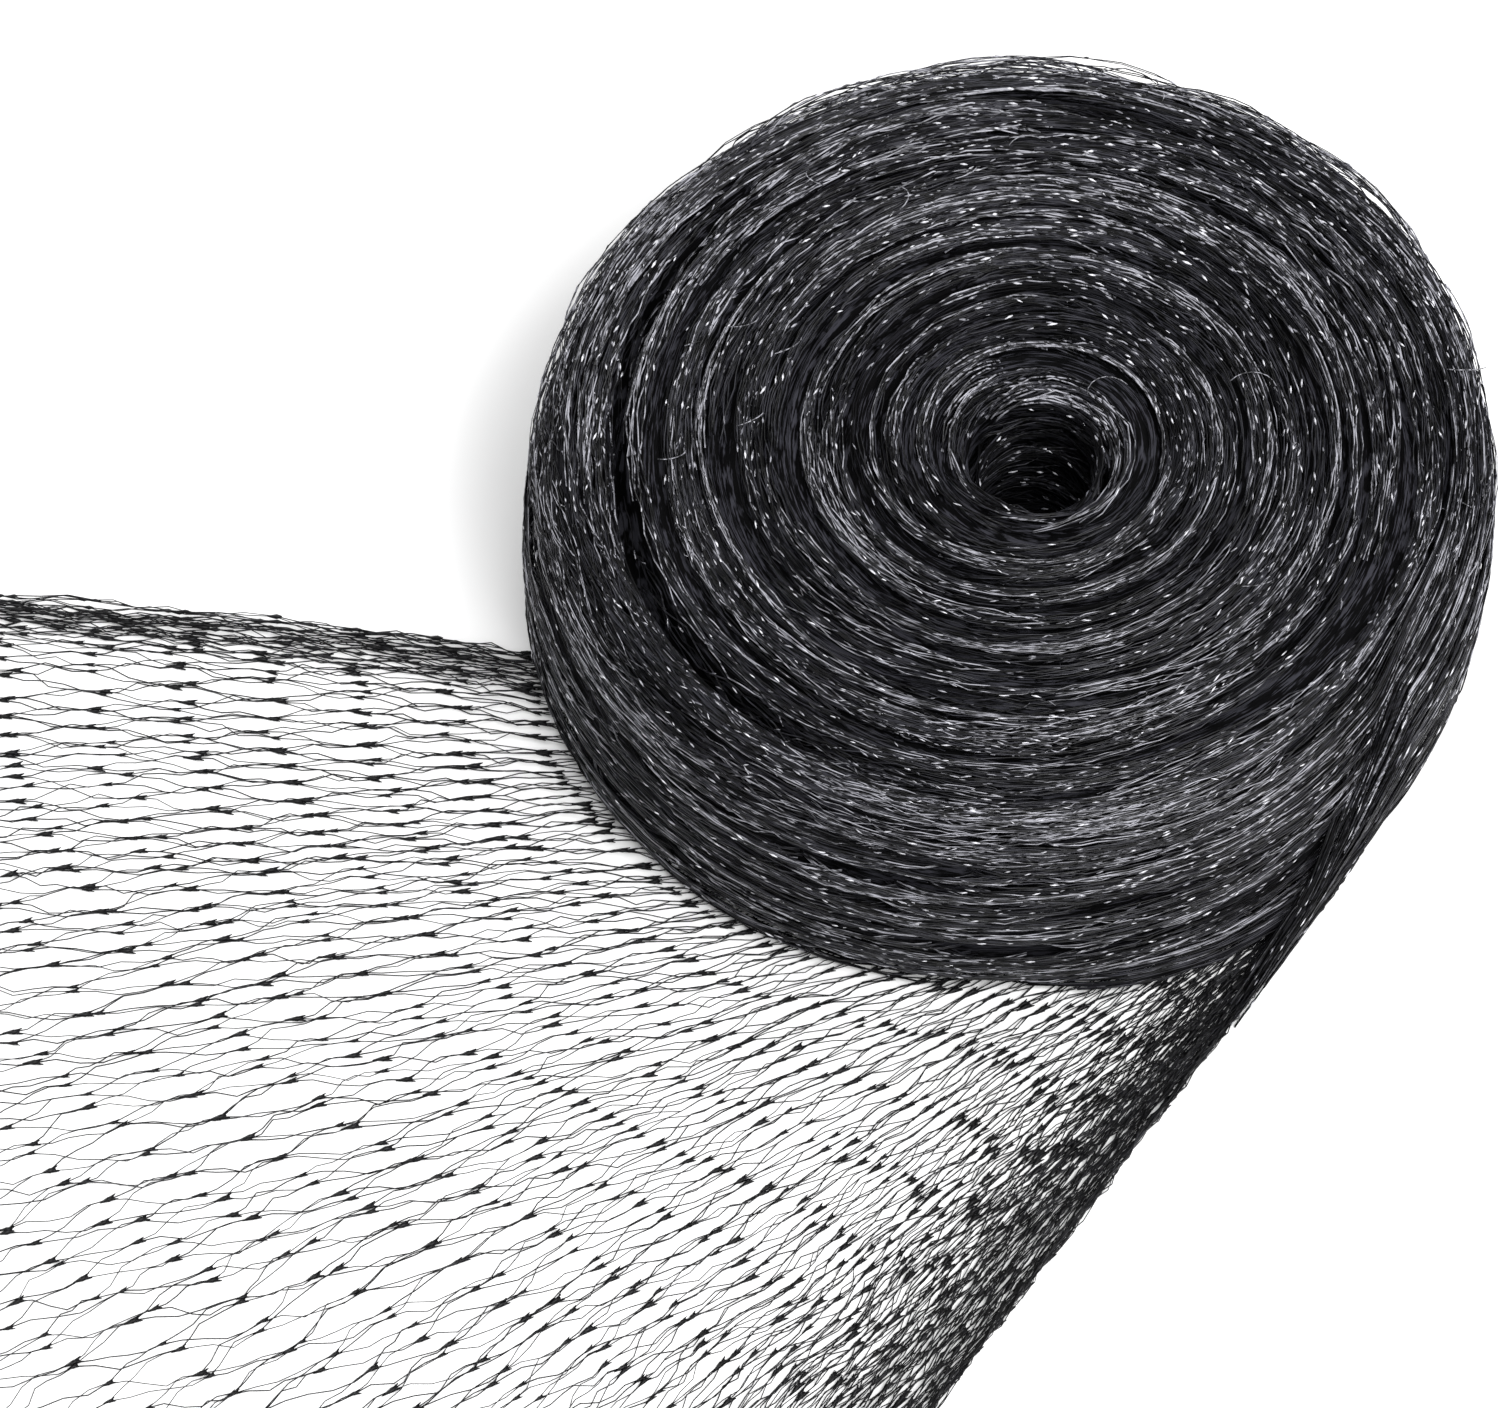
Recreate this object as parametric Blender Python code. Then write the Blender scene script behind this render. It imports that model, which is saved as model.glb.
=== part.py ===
"""A roll of knotted bird netting, standing on its end with its loose end spread over the floor.

Metres, +Z up, floor at z = 0. The netting is gathered into a thick band and wound up without a core.
Seen from above it winds outwards clockwise. It leaves the roll at the front right, goes down to the
floor there and spreads in a fan, partly under the roll. Lengths in the tables are in millimetres.
"""

import math
import random

import bmesh
import bpy

MM = 0.001

# The roll.
ROLL_AXIS = (0.08119, 0.12341)  # where the foot of the roll's axis is, in metres
LEAVE_AZIMUTH = -33.0  # where the netting leaves the roll, in degrees from +X
COLUMNS = 72  # steps in one turn
TURN_POINTS = 3  # points across one turn: its groove and two on its crest
LEAN = 3.9  # how far the top is to the right of the foot
TOP_HEIGHT = 62.0
INNER_SHIFT = (3.0, 1.0)  # the hole is this far off the middle
INNER_SHIFT_RADIUS = 60.0

# The groove inside each turn: its radius where it passes each side, and its depth. The first is the hole's rim.
SIDES = (0.164, 0.414, 0.664, 0.914)  # shares of a turn at which the sides come
TURNS = (
    # front, left, back, right, depth
    (13.0, 13.2, 13.8, 15.0, 0.0),
    (17.5, 18.8, 20.5, 22.5, 2.4),
    (24.0, 25.5, 27.5, 28.8, 2.8),
    (30.6, 33.0, 35.5, 36.5, 4.6),
    (39.6, 40.6, 44.6, 46.0, 3.8),
    (47.6, 49.4, 52.6, 54.6, 6.0),
    (56.2, 57.4, 59.0, 60.6, 2.8),
    (63.0, 64.4, 66.2, 67.6, 3.4),
    (70.4, 71.8, 73.2, 74.4, 6.4),
    (81.0, 78.8, 81.0, 84.2, 4.4),
    (93.6, 88.0, 88.4, 92.4, 8.0),
)
HOLE_START = 12.8  # the hole's radius where the inner end begins
DEEP_GAP = (0.36, 0.17, 9.0)  # on the last turn: share of the turn, half-width of it, extra depth

# The height of the crests over the radius.
CREST_RADIUS = (12.0, 18.0, 24.0, 38.0, 55.0, 76.0, 90.0, 101.0)
CREST_HEIGHT = (54.0, 58.4, 60.6, 61.6, 62.2, 62.2, 61.2, 58.4)
LAST_TURN_SHARE = (0.0, 0.82, 0.93, 1.0)  # the last turn comes down where it leaves
LAST_TURN_DROP = (0.0, 0.0, 5.0, 14.0)

# The side wall and the shoulder above it over the share of a turn, then the wall's barrel profile.
WALL_SHARE = (0.0, 0.089, 0.164, 0.414, 0.664, 0.914, 1.0)
WALL_RADIUS = (93.6, 99.6, 102.6, 104.6, 103.2, 100.8, 100.4)
SHOULDER_RADIUS = (90.2, 96.4, 99.4, 99.8, 100.4, 98.8, 97.4)
WALL_HEIGHT = (0.0, 1.8, 6.0, 13.0, 21.0, 30.0, 39.0, 47.0, 53.4)
WALL_OFFSET = (-4.6, -2.2, -0.8, 0.2, 0.9, 1.3, 1.1, 0.2, -1.4)
SHOULDER_HEIGHT = 58.6
TOP_ROW_SHARE = 0.92  # the wall's top row is no higher than this share of the shoulder

# The hole's wall below its rim.
HOLE_HEIGHT = (47.0, 32.0, 16.0, 2.2, 0.0)
HOLE_OFFSET = (-0.4, 0.0, 0.6, 1.2, 3.0)
FOOT_RADII = (42.0, 70.0)  # rows across the flat foot

# The fan of loose netting.
FAN_TIP_RADIUS = 101.4  # from the roll's axis to the outer edge's straight line
FAN_FROM, FAN_TO = 167.2, 237.0  # directions of its two edges from the tip, in degrees
LEFT_BEND = (190.0, 0.0185)  # past this distance the left edge bends forwards, degrees per mm
LEFT_BEND_WIDTH = 25.0  # the bend fades out over so many degrees
LEFT_BAND = (1.4, 2.9)  # rows in the bunched left edge, degrees inside it
RIGHT_BAND = (5.6, 3.7, 2.1, 0.9)  # rows in the bunched right edge
MESH_COLUMNS = 42  # half meshes across the open part
MESH_ROWS = 12  # half meshes along it
MESH_START = 126.0  # distance from the tip to the first open mesh
MESH_STEP = 18.9  # half a mesh, along the fan
STRAND = 1.4  # width of a strand of the open part
SHEET = 1.2  # thickness of the netting on the floor
KNOT = 0.3  # the knots and the lumps of the bunched edges stand this much higher
GAP = 0.3  # between the loose netting and the roll
NEAR_ROWS = (9.0, 34.0, 62.0, 92.0)  # rows of the closed part near the tip
BAND_HEIGHT = 3.4  # the bunched edges stand this high, past the roll
BAND_CLEAR = 3.0  # how far from the roll they start to rise
PLEATS = 14  # folds of the closed part near the tip
PLEAT_HEIGHT = 1.5

# The wound band's end, which comes down to the floor beside the roll: its height over the distance from the tip.
TAIL_ALONG = (-3.0, 1.0, 8.0, 20.0, 36.0, 62.0)
TAIL_HEIGHT = (43.0, 41.5, 30.0, 17.5, 9.0, 3.6)
TAIL_ACROSS = (0.0, 1.1, 3.1, 4.2)  # from the outer edge inwards
TAIL_CROWN = (0.86, 1.0, 1.0, 0.84)  # share of the height at each of those


def clear_scene():
    for obj in list(bpy.data.objects):
        bpy.data.objects.remove(obj, do_unlink=True)


def between(x, xs, ys):
    """The value at x on the line through the points (xs, ys), level past both ends."""
    if x <= xs[0]:
        return ys[0]
    for x0, x1, y0, y1 in zip(xs, xs[1:], ys, ys[1:]):
        if x <= x1:
            return y0 + (y1 - y0) * (x - x0) / (x1 - x0)
    return ys[-1]


def eased(x, xs, ys):
    """Like between(), with the corners rounded."""
    reach = 0.35 * min(b - a for a, b in zip(xs, xs[1:]))
    return sum(between(x + k * reach / 2, xs, ys) for k in (-2, -1, 0, 1, 2)) / 5


def groove_table():
    """The groove's radius over the number of turns, and its depth."""
    turns, radii, depths = [0.0], [HOLE_START], [0.0]
    for number, row in enumerate(TURNS):
        for side, radius in zip(SIDES, row):
            turns.append(number + side)
            radii.append(radius)
            depths.append(row[-1])
    turns.append(float(len(TURNS)))
    radii.append(SHOULDER_RADIUS[0])
    depths.append(0.0)
    return turns, radii, depths


GROOVE_TURNS, GROOVE_RADII, GROOVE_DEPTHS = groove_table()
TURN_COUNT = len(TURNS)


def wall_radius(share):
    return eased(share, WALL_SHARE, WALL_RADIUS)


def last_turn_drop(turn):
    return between(turn - (TURN_COUNT - 1), LAST_TURN_SHARE, LAST_TURN_DROP)


def crest_height(turn, radius):
    """The height of the wound face, uneven along the winding."""
    uneven = 0.7 * math.sin(10.7 * turn + 0.6) + 0.5 * math.sin(27.1 * turn + 2.1)
    return between(radius, CREST_RADIUS, CREST_HEIGHT) + uneven * min(1.0, radius / 40)


def groove(turn):
    """(radius, height) of the groove line after so many turns. Past the last turn it's the roll's shoulder."""
    if turn >= TURN_COUNT:
        share = turn - TURN_COUNT
        drop = last_turn_drop(turn - 1)
        wave = 0.8 * math.sin(2 * math.pi * 3 * share)
        return eased(share, WALL_SHARE, SHOULDER_RADIUS), SHOULDER_HEIGHT + wave - drop
    radius = eased(turn, GROOVE_TURNS, GROOVE_RADII)
    radius += 0.3 * math.sin(31.0 * turn) * min(1.0, TURN_COUNT - turn)
    depth = eased(turn, GROOVE_TURNS, GROOVE_DEPTHS)
    middle, half, extra = DEEP_GAP
    off = abs(turn - (TURN_COUNT - 1) - middle) / half
    if off < 1:
        depth += extra * (1 - off * off)
    depth *= min(1.0, (TURN_COUNT - turn) / 0.08)
    top = crest_height(turn, radius)
    end = min(1.0, max(0.0, (turn - TURN_COUNT + 0.08) / 0.08))
    return radius, (1 - end) * (top - depth) + end * SHOULDER_HEIGHT


def across_turn(turn):
    """The points across one turn: its groove, then those on its crest."""
    inner, inner_height = groove(turn)
    outer, _ = groove(turn + 1)
    points = [(inner, inner_height)]
    for k in range(1, TURN_POINTS):
        share = 0.27 + 0.44 * (k - 1) / (TURN_POINTS - 2)
        radius = inner + share * (outer - inner)
        points.append((radius, crest_height(turn, radius) - last_turn_drop(turn)))
    return points


def place(turn, radius, height):
    """A point of the roll in metres: clockwise by its turns, then leaned and shifted."""
    azimuth = math.radians(LEAVE_AZIMUTH - 360.0 * turn)
    inner = max(0.0, 1 - radius / INNER_SHIFT_RADIUS)
    x = radius * math.cos(azimuth) + LEAN * height / TOP_HEIGHT + INNER_SHIFT[0] * inner
    y = radius * math.sin(azimuth) + INNER_SHIFT[1] * inner
    return (ROLL_AXIS[0] + x * MM, ROLL_AXIS[1] + y * MM, height * MM)


def wall_point(share, row):
    """(radius, height) on the side wall, with the shallow ridges of the wound netting."""
    _, shoulder = groove(TURN_COUNT + share)
    low = min(1.0, shoulder / SHOULDER_HEIGHT)
    height = WALL_HEIGHT[row] * low
    if row == len(WALL_HEIGHT) - 1:
        height = min(height, TOP_ROW_SHARE * shoulder)
    free = min(1.0, row / 2) * min(1.0, share / 0.05, (1 - share) / 0.05)
    ridge = 0.9 * math.sin(0.37 * height + 2.2 * math.sin(2 * math.pi * 2 * share))
    swell = 0.7 * math.sin(2 * math.pi * 5 * share + height / 9)
    return wall_radius(share) + WALL_OFFSET[row] + free * (ridge + swell), height


def strip(bm, lines, columns):
    """Quads between neighbouring lines of vertices, each line columns + 1 long."""
    for a, b in zip(lines, lines[1:]):
        for j in range(columns):
            bm.faces.new((a[j], a[j + 1], b[j + 1], b[j]))


def build_roll():
    """The wound form: one spiral band with its grooves, a side wall, an open hole and a flat foot."""
    bm = bmesh.new()
    n = COLUMNS

    # The wound face, as one strip that follows the spiral from the hole to the shoulder.
    steps = TURN_COUNT * n
    grooves = [bm.verts.new(place(s / n, *groove(s / n))) for s in range(steps + n + 1)]
    crests = []
    for s in range(steps + 1):
        crests.append([bm.verts.new(place(s / n, *p)) for p in across_turn(s / n)[1:]])
    for s in range(steps):
        here = [grooves[s], *crests[s], grooves[s + n]]
        after = [grooves[s + 1], *crests[s + 1], grooves[s + n + 1]]
        for k in range(TURN_POINTS):
            bm.faces.new((here[k], after[k], after[k + 1], here[k + 1]))

    # The side wall, from the shoulder down.
    shoulder = grooves[steps:]
    wall = [shoulder]
    for row in reversed(range(len(WALL_HEIGHT))):
        wall.append([bm.verts.new(place(j / n, *wall_point(j / n, row))) for j in range(n + 1)])

    # The hole's wall, from its rim down.
    hole = [grooves[: n + 1]]
    for height, offset in zip(HOLE_HEIGHT, HOLE_OFFSET):
        hole.append([bm.verts.new(place(j / n, groove(j / n)[0] + offset, height)) for j in range(n + 1)])

    # The foot is a flat spiral too, in wider rows. Each row ends where the next one starts.
    inner = [groove(0)[0] + HOLE_OFFSET[-1], groove(1)[0] + HOLE_OFFSET[-1]]
    outer = [wall_radius(share) + WALL_OFFSET[0] for share in (0.0, 1.0)]
    ends = [*inner, *FOOT_RADII, *outer]
    foot = [hole[-1]]
    for row in range(1, len(ends) - 2):
        line = [foot[-1][n]]
        for j in range(1, n):
            radius = ends[row] + (ends[row + 1] - ends[row]) * j / n
            line.append(bm.verts.new(place(j / n, radius, 0.0)))
        last = row == len(ends) - 3
        line.append(wall[-1][0] if last else bm.verts.new(place(1.0, ends[row + 1], 0.0)))
        foot.append(line)
    foot.append(wall[-1])

    strip(bm, wall, n)
    strip(bm, hole[::-1], n)
    strip(bm, foot[::-1], n)

    # The band's two ends, each flat and upright.
    bm.faces.new([line[0] for line in hole] + [line[n] for line in reversed(hole)] + crests[0][::-1])
    bm.faces.new([line[n] for line in wall] + [line[0] for line in reversed(wall)] + crests[steps])
    bmesh.ops.recalc_face_normals(bm, faces=bm.faces)
    return finish("net_roll", bm)


def tip():
    """The fan's tip, where the netting leaves the roll."""
    azimuth = math.radians(LEAVE_AZIMUTH)
    return FAN_TIP_RADIUS * math.cos(azimuth), FAN_TIP_RADIUS * math.sin(azimuth)


def fan_point(direction, along):
    """A point on the floor, in millimetres from the foot of the roll's axis."""
    x, y = tip()
    start, bend = LEFT_BEND
    fade = max(0.0, 1 - (direction - FAN_FROM) / LEFT_BEND_WIDTH)
    angle = math.radians(direction + bend * max(0.0, along - start) * fade)
    return x + along * math.cos(angle), y + along * math.sin(angle)


def rise_past_roll(x, y):
    """0 under the roll and close to it, 1 a little further out."""
    clear = math.hypot(x, y) - max(WALL_RADIUS) - BAND_CLEAR
    return min(1.0, max(0.0, clear / 12))


def band_height(direction, along):
    """The height of the netting's top: thin in the middle, bunched at both edges, flat under the roll."""
    rise = rise_past_roll(*fan_point(direction, along))
    from_left, from_right = direction - FAN_FROM, FAN_TO - direction
    bunch = max(0.0, 1 - abs(from_left - 1.4) / 1.6, 1 - abs(from_right - 2.4) / 3.4)
    return SHEET + rise * min(1.0, 1.4 * bunch) * (BAND_HEIGHT - SHEET)


class Fan:
    """The flat pattern of the fan, raised to its thickness at the end."""

    def __init__(self):
        self.bm = bmesh.new()
        self.tops = {}
        self.uneven = random.Random(11)

    def vertex(self, direction, along, extra=0.0):
        x, y = fan_point(direction, along)
        vertex = self.bm.verts.new((ROLL_AXIS[0] + x * MM, ROLL_AXIS[1] + y * MM, 0.0))
        self.tops[vertex] = (band_height(direction, along) + extra) * MM
        return vertex

    def pleated(self, direction, along, raised):
        """A point of the closed part, on a pleat or beside it. Under the roll it's flat."""
        height = PLEAT_HEIGHT * raised * rise_past_roll(*fan_point(direction, along))
        return self.vertex(direction, along, height)

    def knots(self):
        """The corners of the open meshes, by column and row, moved a little as a loose net lies."""
        first = FAN_FROM + LEFT_BAND[-1]
        step = (FAN_TO - RIGHT_BAND[0] - first) / MESH_COLUMNS
        found = {}
        for row in range(MESH_ROWS + 1):
            for column in range(MESH_COLUMNS + 1):
                side = column in (0, MESH_COLUMNS)
                end = row in (0, MESH_ROWS)
                if (column + row) % 2 and not (side or end):
                    continue
                sway = 0.0 if side else self.uneven.uniform(-0.22, 0.22) * step / 1.4
                slip = 0.0 if end else self.uneven.uniform(-2.2, 2.2)
                direction = first + step * column + sway
                found[column, row] = self.vertex(direction, MESH_START + MESH_STEP * row + slip, KNOT)
        return found

    def mesh(self, corners):
        """One open mesh: a ring of netting around its gap. corners run round it."""
        centre = sum((v.co for v in corners), corners[0].co * 0) / len(corners)
        nearest = min((centre - (a.co + b.co) / 2).length for a, b in zip(corners, corners[1:] + corners[:1]))
        half = min(self.edge_distance(centre, a.co, b.co) for a, b in zip(corners, corners[1:] + corners[:1]))
        share = max(0.3, 1 - STRAND * MM / 2 / min(half, nearest))
        inner = []
        for corner in corners:
            vertex = self.bm.verts.new(centre + (corner.co - centre) * share)
            self.tops[vertex] = self.tops[corner] - KNOT * MM
            inner.append(vertex)
        for k, corner in enumerate(corners):
            after = (k + 1) % len(corners)
            self.bm.faces.new((corner, corners[after], inner[after], inner[k]))

    @staticmethod
    def edge_distance(point, a, b):
        along = (b - a).normalized()
        return ((point - a) - along * (point - a).dot(along)).length

    def build(self):
        """All faces of the flat pattern."""
        knots = self.knots()
        bm = self.bm
        columns, rows = MESH_COLUMNS, MESH_ROWS
        for row in range(1, rows):
            for column in range(1, columns):
                if (column + row) % 2:
                    self.mesh([knots[column - 1, row], knots[column, row - 1],
                               knots[column + 1, row], knots[column, row + 1]])

        # The half meshes at the cut end are open, and those at the other three sides are closed.
        for column in range(1, columns, 2):
            bm.faces.new((knots[column - 1, 0], knots[column, 0], knots[column, 1]))
            bm.faces.new((knots[column, 0], knots[column + 1, 0], knots[column, 1]))
            self.mesh([knots[column - 1, rows], knots[column, rows - 1],
                       knots[column + 1, rows], knots[column, rows]])
        for row in range(1, rows):
            if row % 2:
                bm.faces.new((knots[0, row - 1], knots[0, row], knots[1, row]))
                bm.faces.new((knots[0, row], knots[0, row + 1], knots[1, row]))
            if (columns + row) % 2:
                bm.faces.new((knots[columns, row - 1], knots[columns, row], knots[columns - 1, row]))
                bm.faces.new((knots[columns, row], knots[columns, row + 1], knots[columns - 1, row]))
        self.bands(knots)

    def bands(self, knots):
        """The bunched edges beside the open part, and the closed part near the tip."""
        bm = self.bm
        lefts = [FAN_FROM, FAN_FROM + LEFT_BAND[0]]
        rights = [FAN_TO - inside for inside in RIGHT_BAND[1:]] + [FAN_TO]
        alongs = [MESH_START + MESH_STEP * row for row in range(MESH_ROWS + 1)]
        left = [[self.vertex(d, a, self.uneven.uniform(-KNOT, KNOT)) for d in lefts] for a in alongs]
        right = [[self.vertex(d, a, self.uneven.uniform(-KNOT, KNOT)) for d in rights] for a in alongs]
        across = []
        for row in range(MESH_ROWS + 1):
            across.append(left[row] + [knots[0, row]])
            across.append([knots[MESH_COLUMNS, row]] + right[row])
        for row in range(MESH_ROWS):
            for side in (0, 1):
                a, b = across[2 * row + side], across[2 * row + 2 + side]
                for k in range(len(a) - 1):
                    bm.faces.new((a[k], b[k], b[k + 1], a[k + 1]))

        # Near the tip: rows with the bands' columns and shallow pleats between them.
        first, last = FAN_FROM + LEFT_BAND[-1], FAN_TO - RIGHT_BAND[0]
        fine = left[0] + [knots[c, 0] for c in range(MESH_COLUMNS + 1)] + right[0]
        every = MESH_COLUMNS // PLEATS
        pleats = [first + (last - first) * k / PLEATS for k in range(PLEATS + 1)]
        directions = lefts + pleats + rights
        lines = []
        for along in NEAR_ROWS:
            lines.append([self.pleated(d, along, k % 2) for k, d in enumerate(directions)])
        for a, b in zip(lines, lines[1:]):
            for k in range(len(directions) - 1):
                bm.faces.new((a[k], b[k], b[k + 1], a[k + 1]))
        outer = lines[-1]
        ends = len(fine) - len(rights)
        stops = [0, 1] + [2 + every * k for k in range(PLEATS + 1)] + list(range(ends, len(fine)))
        for k in range(len(directions) - 1):
            bm.faces.new([outer[k], *fine[stops[k] : stops[k + 1] + 1], outer[k + 1]])

    def raise_top(self):
        """Closes the pattern: its copy becomes the top and walls join the two."""
        bm = self.bm
        bottoms = list(bm.verts)
        faces = list(bm.faces)
        rims = [e for e in bm.edges if len(e.link_faces) == 1]
        above = {v: bm.verts.new((v.co.x, v.co.y, self.tops[v])) for v in bottoms}
        for face in faces:
            bm.faces.new([above[v] for v in reversed(face.verts)])
        for edge in rims:
            a, b = edge.verts
            bm.faces.new((a, b, above[b], above[a]))
        bmesh.ops.recalc_face_normals(bm, faces=bm.faces)


def from_edge(direction, along, across, height):
    """A point in metres: so far along the line that leaves the tip in this direction, then so far to its right."""
    x, y = tip()
    angle = math.radians(direction)
    px = x + along * math.cos(angle) + across * math.sin(angle)
    py = y + along * math.sin(angle) - across * math.cos(angle)
    return (ROLL_AXIS[0] + px * MM, ROLL_AXIS[1] + py * MM, height * MM)


def build_tail():
    """The upright end of the band, from the roll's side down to the floor, as a crowned wall that thins out."""
    bm = bmesh.new()
    tops, bottoms = [], []
    for along, height in zip(TAIL_ALONG, TAIL_HEIGHT):
        top = [(across, height * crown) for across, crown in zip(TAIL_ACROSS, TAIL_CROWN)]
        tops.append([bm.verts.new(from_edge(FAN_TO, along, *point)) for point in top])
        bottoms.append([bm.verts.new(from_edge(FAN_TO, along, across, 0.0)) for across in TAIL_ACROSS])
    last = len(TAIL_ACROSS) - 1
    strip(bm, tops, last)
    strip(bm, bottoms[::-1], last)
    for k in range(len(TAIL_ALONG) - 1):
        for side in (0, last):
            bm.faces.new((tops[k][side], tops[k + 1][side], bottoms[k + 1][side], bottoms[k][side]))
    for k in (0, len(TAIL_ALONG) - 1):
        bm.faces.new(tops[k] + bottoms[k][::-1])
    bmesh.ops.recalc_face_normals(bm, faces=bm.faces)
    return finish("tail_of_band", bm)


def build_fan():
    fan = Fan()
    fan.build()
    fan.raise_top()
    return finish("loose_net", fan.bm)


def box_cutter(name, direction, alongs, acrosses, high):
    """A box for cutting, laid along a line from the tip. It goes as far below the floor as above it."""
    bm = bmesh.new()
    bmesh.ops.create_cube(bm, size=2.0)
    for v in bm.verts:
        along = alongs[0] if v.co.x < 0 else alongs[1]
        across = acrosses[1] if v.co.y < 0 else acrosses[0]
        v.co = from_edge(direction, along, across, high * v.co.z)
    cutter = finish(name, bm)
    hide(cutter)
    return cutter


def hide(obj):
    obj.hide_render = True
    obj.display_type = "WIRE"


def finish(name, bm):
    """Makes a named, smooth-shaded object of a mesh."""
    mesh = bpy.data.meshes.new(name)
    bm.to_mesh(mesh)
    bm.free()
    mesh.shade_smooth()
    mesh.set_sharp_from_angle(angle=math.radians(50))
    obj = bpy.data.objects.new(name, mesh)
    bpy.context.scene.collection.objects.link(obj)
    return obj


def combine(obj, other, operation):
    modifier = obj.modifiers.new(operation.title(), "BOOLEAN")
    modifier.operation = operation
    modifier.solver = "EXACT"
    modifier.object = other


def netting_material(name, colour, roughness):
    material = bpy.data.materials.new(name)
    material.use_nodes = True
    shader = material.node_tree.nodes["Principled BSDF"]
    shader.inputs["Base Color"].default_value = (*colour, 1.0)
    shader.inputs["Roughness"].default_value = roughness
    shader.inputs["Metallic"].default_value = 0.0
    return material


def main():
    clear_scene()
    roll = build_roll()
    net = build_fan()
    tail = build_tail()
    hide(tail)

    # The roll's foot is hollowed over the fan, and the band's end is part of the roll. The fan stops beside it.
    recess = box_cutter("recess_cutter", FAN_FROM, (-55.0, 245.0), (-120.0, 0.4), SHEET + KNOT + GAP)
    notch = box_cutter("notch_cutter", FAN_TO, (-5.0, TAIL_ALONG[-1] + GAP), (-1.0, TAIL_ACROSS[-1] + GAP), 60.0)
    combine(roll, recess, "DIFFERENCE")
    combine(roll, tail, "UNION")
    combine(net, notch, "DIFFERENCE")
    roll.data.materials.append(netting_material("wound_netting", (0.016, 0.016, 0.018), 0.5))
    net.data.materials.append(netting_material("loose_netting", (0.012, 0.012, 0.014), 0.45))


main()
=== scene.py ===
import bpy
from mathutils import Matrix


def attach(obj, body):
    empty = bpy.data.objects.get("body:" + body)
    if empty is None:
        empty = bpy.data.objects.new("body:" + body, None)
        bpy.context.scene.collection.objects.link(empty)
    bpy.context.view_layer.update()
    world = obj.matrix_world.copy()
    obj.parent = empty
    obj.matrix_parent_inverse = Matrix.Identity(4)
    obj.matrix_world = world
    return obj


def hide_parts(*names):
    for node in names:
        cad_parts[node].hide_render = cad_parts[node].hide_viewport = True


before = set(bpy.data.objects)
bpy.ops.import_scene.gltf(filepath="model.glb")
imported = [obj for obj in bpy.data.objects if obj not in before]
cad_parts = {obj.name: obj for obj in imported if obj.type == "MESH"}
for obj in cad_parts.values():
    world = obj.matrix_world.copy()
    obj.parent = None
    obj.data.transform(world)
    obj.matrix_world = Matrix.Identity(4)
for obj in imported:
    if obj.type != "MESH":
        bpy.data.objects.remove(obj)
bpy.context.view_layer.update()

# A roll of knotted bird netting, standing on its end with its loose end spread over the floor.
# The netting is black polyethylene twine. It is wound without a core, clockwise seen from above,
# and leaves the roll at the front right. Lengths are in millimetres unless they end in _m.

import logging
import math
import random
from dataclasses import dataclass, field
from enum import Enum
from typing import Callable, Sequence

import bmesh
import bpy
import numpy as np
from mathutils import Vector, noise

MM = 0.001
ROLL_AXIS = (81.19, 123.41)  # the foot of the roll's axis
MESH_SIDE = 19.3  # from knot to knot
LEAVES_TOWARDS = 237.0  # degrees from +X
# Where the band comes down to the floor: its height over the distance from where it leaves the roll.
TAIL_ALONG = (0.0, 8.0, 20.0, 36.0, 62.0, 90.0)
TAIL_HEIGHT = (43.0, 30.0, 17.5, 9.0, 3.6, 3.2)
TIP = (166.23, 68.18)  # where it fans out from
WALL_RADIUS = 102.0  # the wall's, for distances round it
PHASES = (0.0, 6.3)  # where in a wave a thread may begin, in radians
log = logging.getLogger("netting")


def eased(x: np.ndarray, xs: Sequence[float], ys: Sequence[float]) -> np.ndarray:
    """Reads a table with its corners rounded.

    Args:
        x: Where to read it.
        xs: The table's places, rising.
        ys: Its values there.

    Returns:
        The values at x, level past both ends.
    """
    reach = 0.35 * min(b - a for a, b in zip(xs, xs[1:]))
    return sum(np.interp(x + k * reach / 2, xs, ys) for k in (-2, -1, 0, 1, 2)) / 5


def ramp(x: np.ndarray, low: float, high: float) -> np.ndarray:
    """Rises smoothly from 0 at low to 1 at high."""
    t = np.clip((x - low) / (high - low), 0, 1)
    return t * t * (3 - 2 * t)


def ripple(pick: random.Random, s: np.ndarray, shortest: float, longest: float) -> np.ndarray:
    """A thread's small waves, of a chance length, from -1 to 1.

    Args:
        pick: The run of chances.
        s: Distances along the thread.
        shortest: The least distance in which the wave's angle grows by one radian.
        longest: The most.

    Returns:
        The wave at each distance.
    """
    return np.sin(s / pick.uniform(shortest, longest) + pick.uniform(*PHASES))


def no_lower(points: np.ndarray, floor: float) -> np.ndarray:
    """Lifts the points that lie below a height up to it."""
    points[:, 2] = np.maximum(points[:, 2], floor)
    return points


def add_object(name: str, data: bpy.types.ID) -> bpy.types.Object:
    """Adds an object to the scene, at the origin.

    Args:
        name: Its name.
        data: Its mesh, curve, light or camera.

    Returns:
        The object.
    """
    made = bpy.data.objects.new(name, data)
    bpy.context.scene.collection.objects.link(made)
    return made


# Finishes


class Look(Enum):
    """How a stretch of twine takes the light. On the roll DEEP is painted shade, BRIGHT a painted highlight along the
    strand and KNOT a painted glint on a knot; on the loose net they are only the twine's tones, picked at random, and
    KNOT its black knots.
    """

    DEEP = 0
    PLAIN = 1
    BRIGHT = 2
    KNOT = 3


# On the roll this mixes painted shade, plain twine and painted highlight; on the loose net it mixes random tones of
# the twine.
MIXED = (Look.DEEP, Look.PLAIN, Look.PLAIN, Look.BRIGHT)  # the usual mix, to choose from


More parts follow.
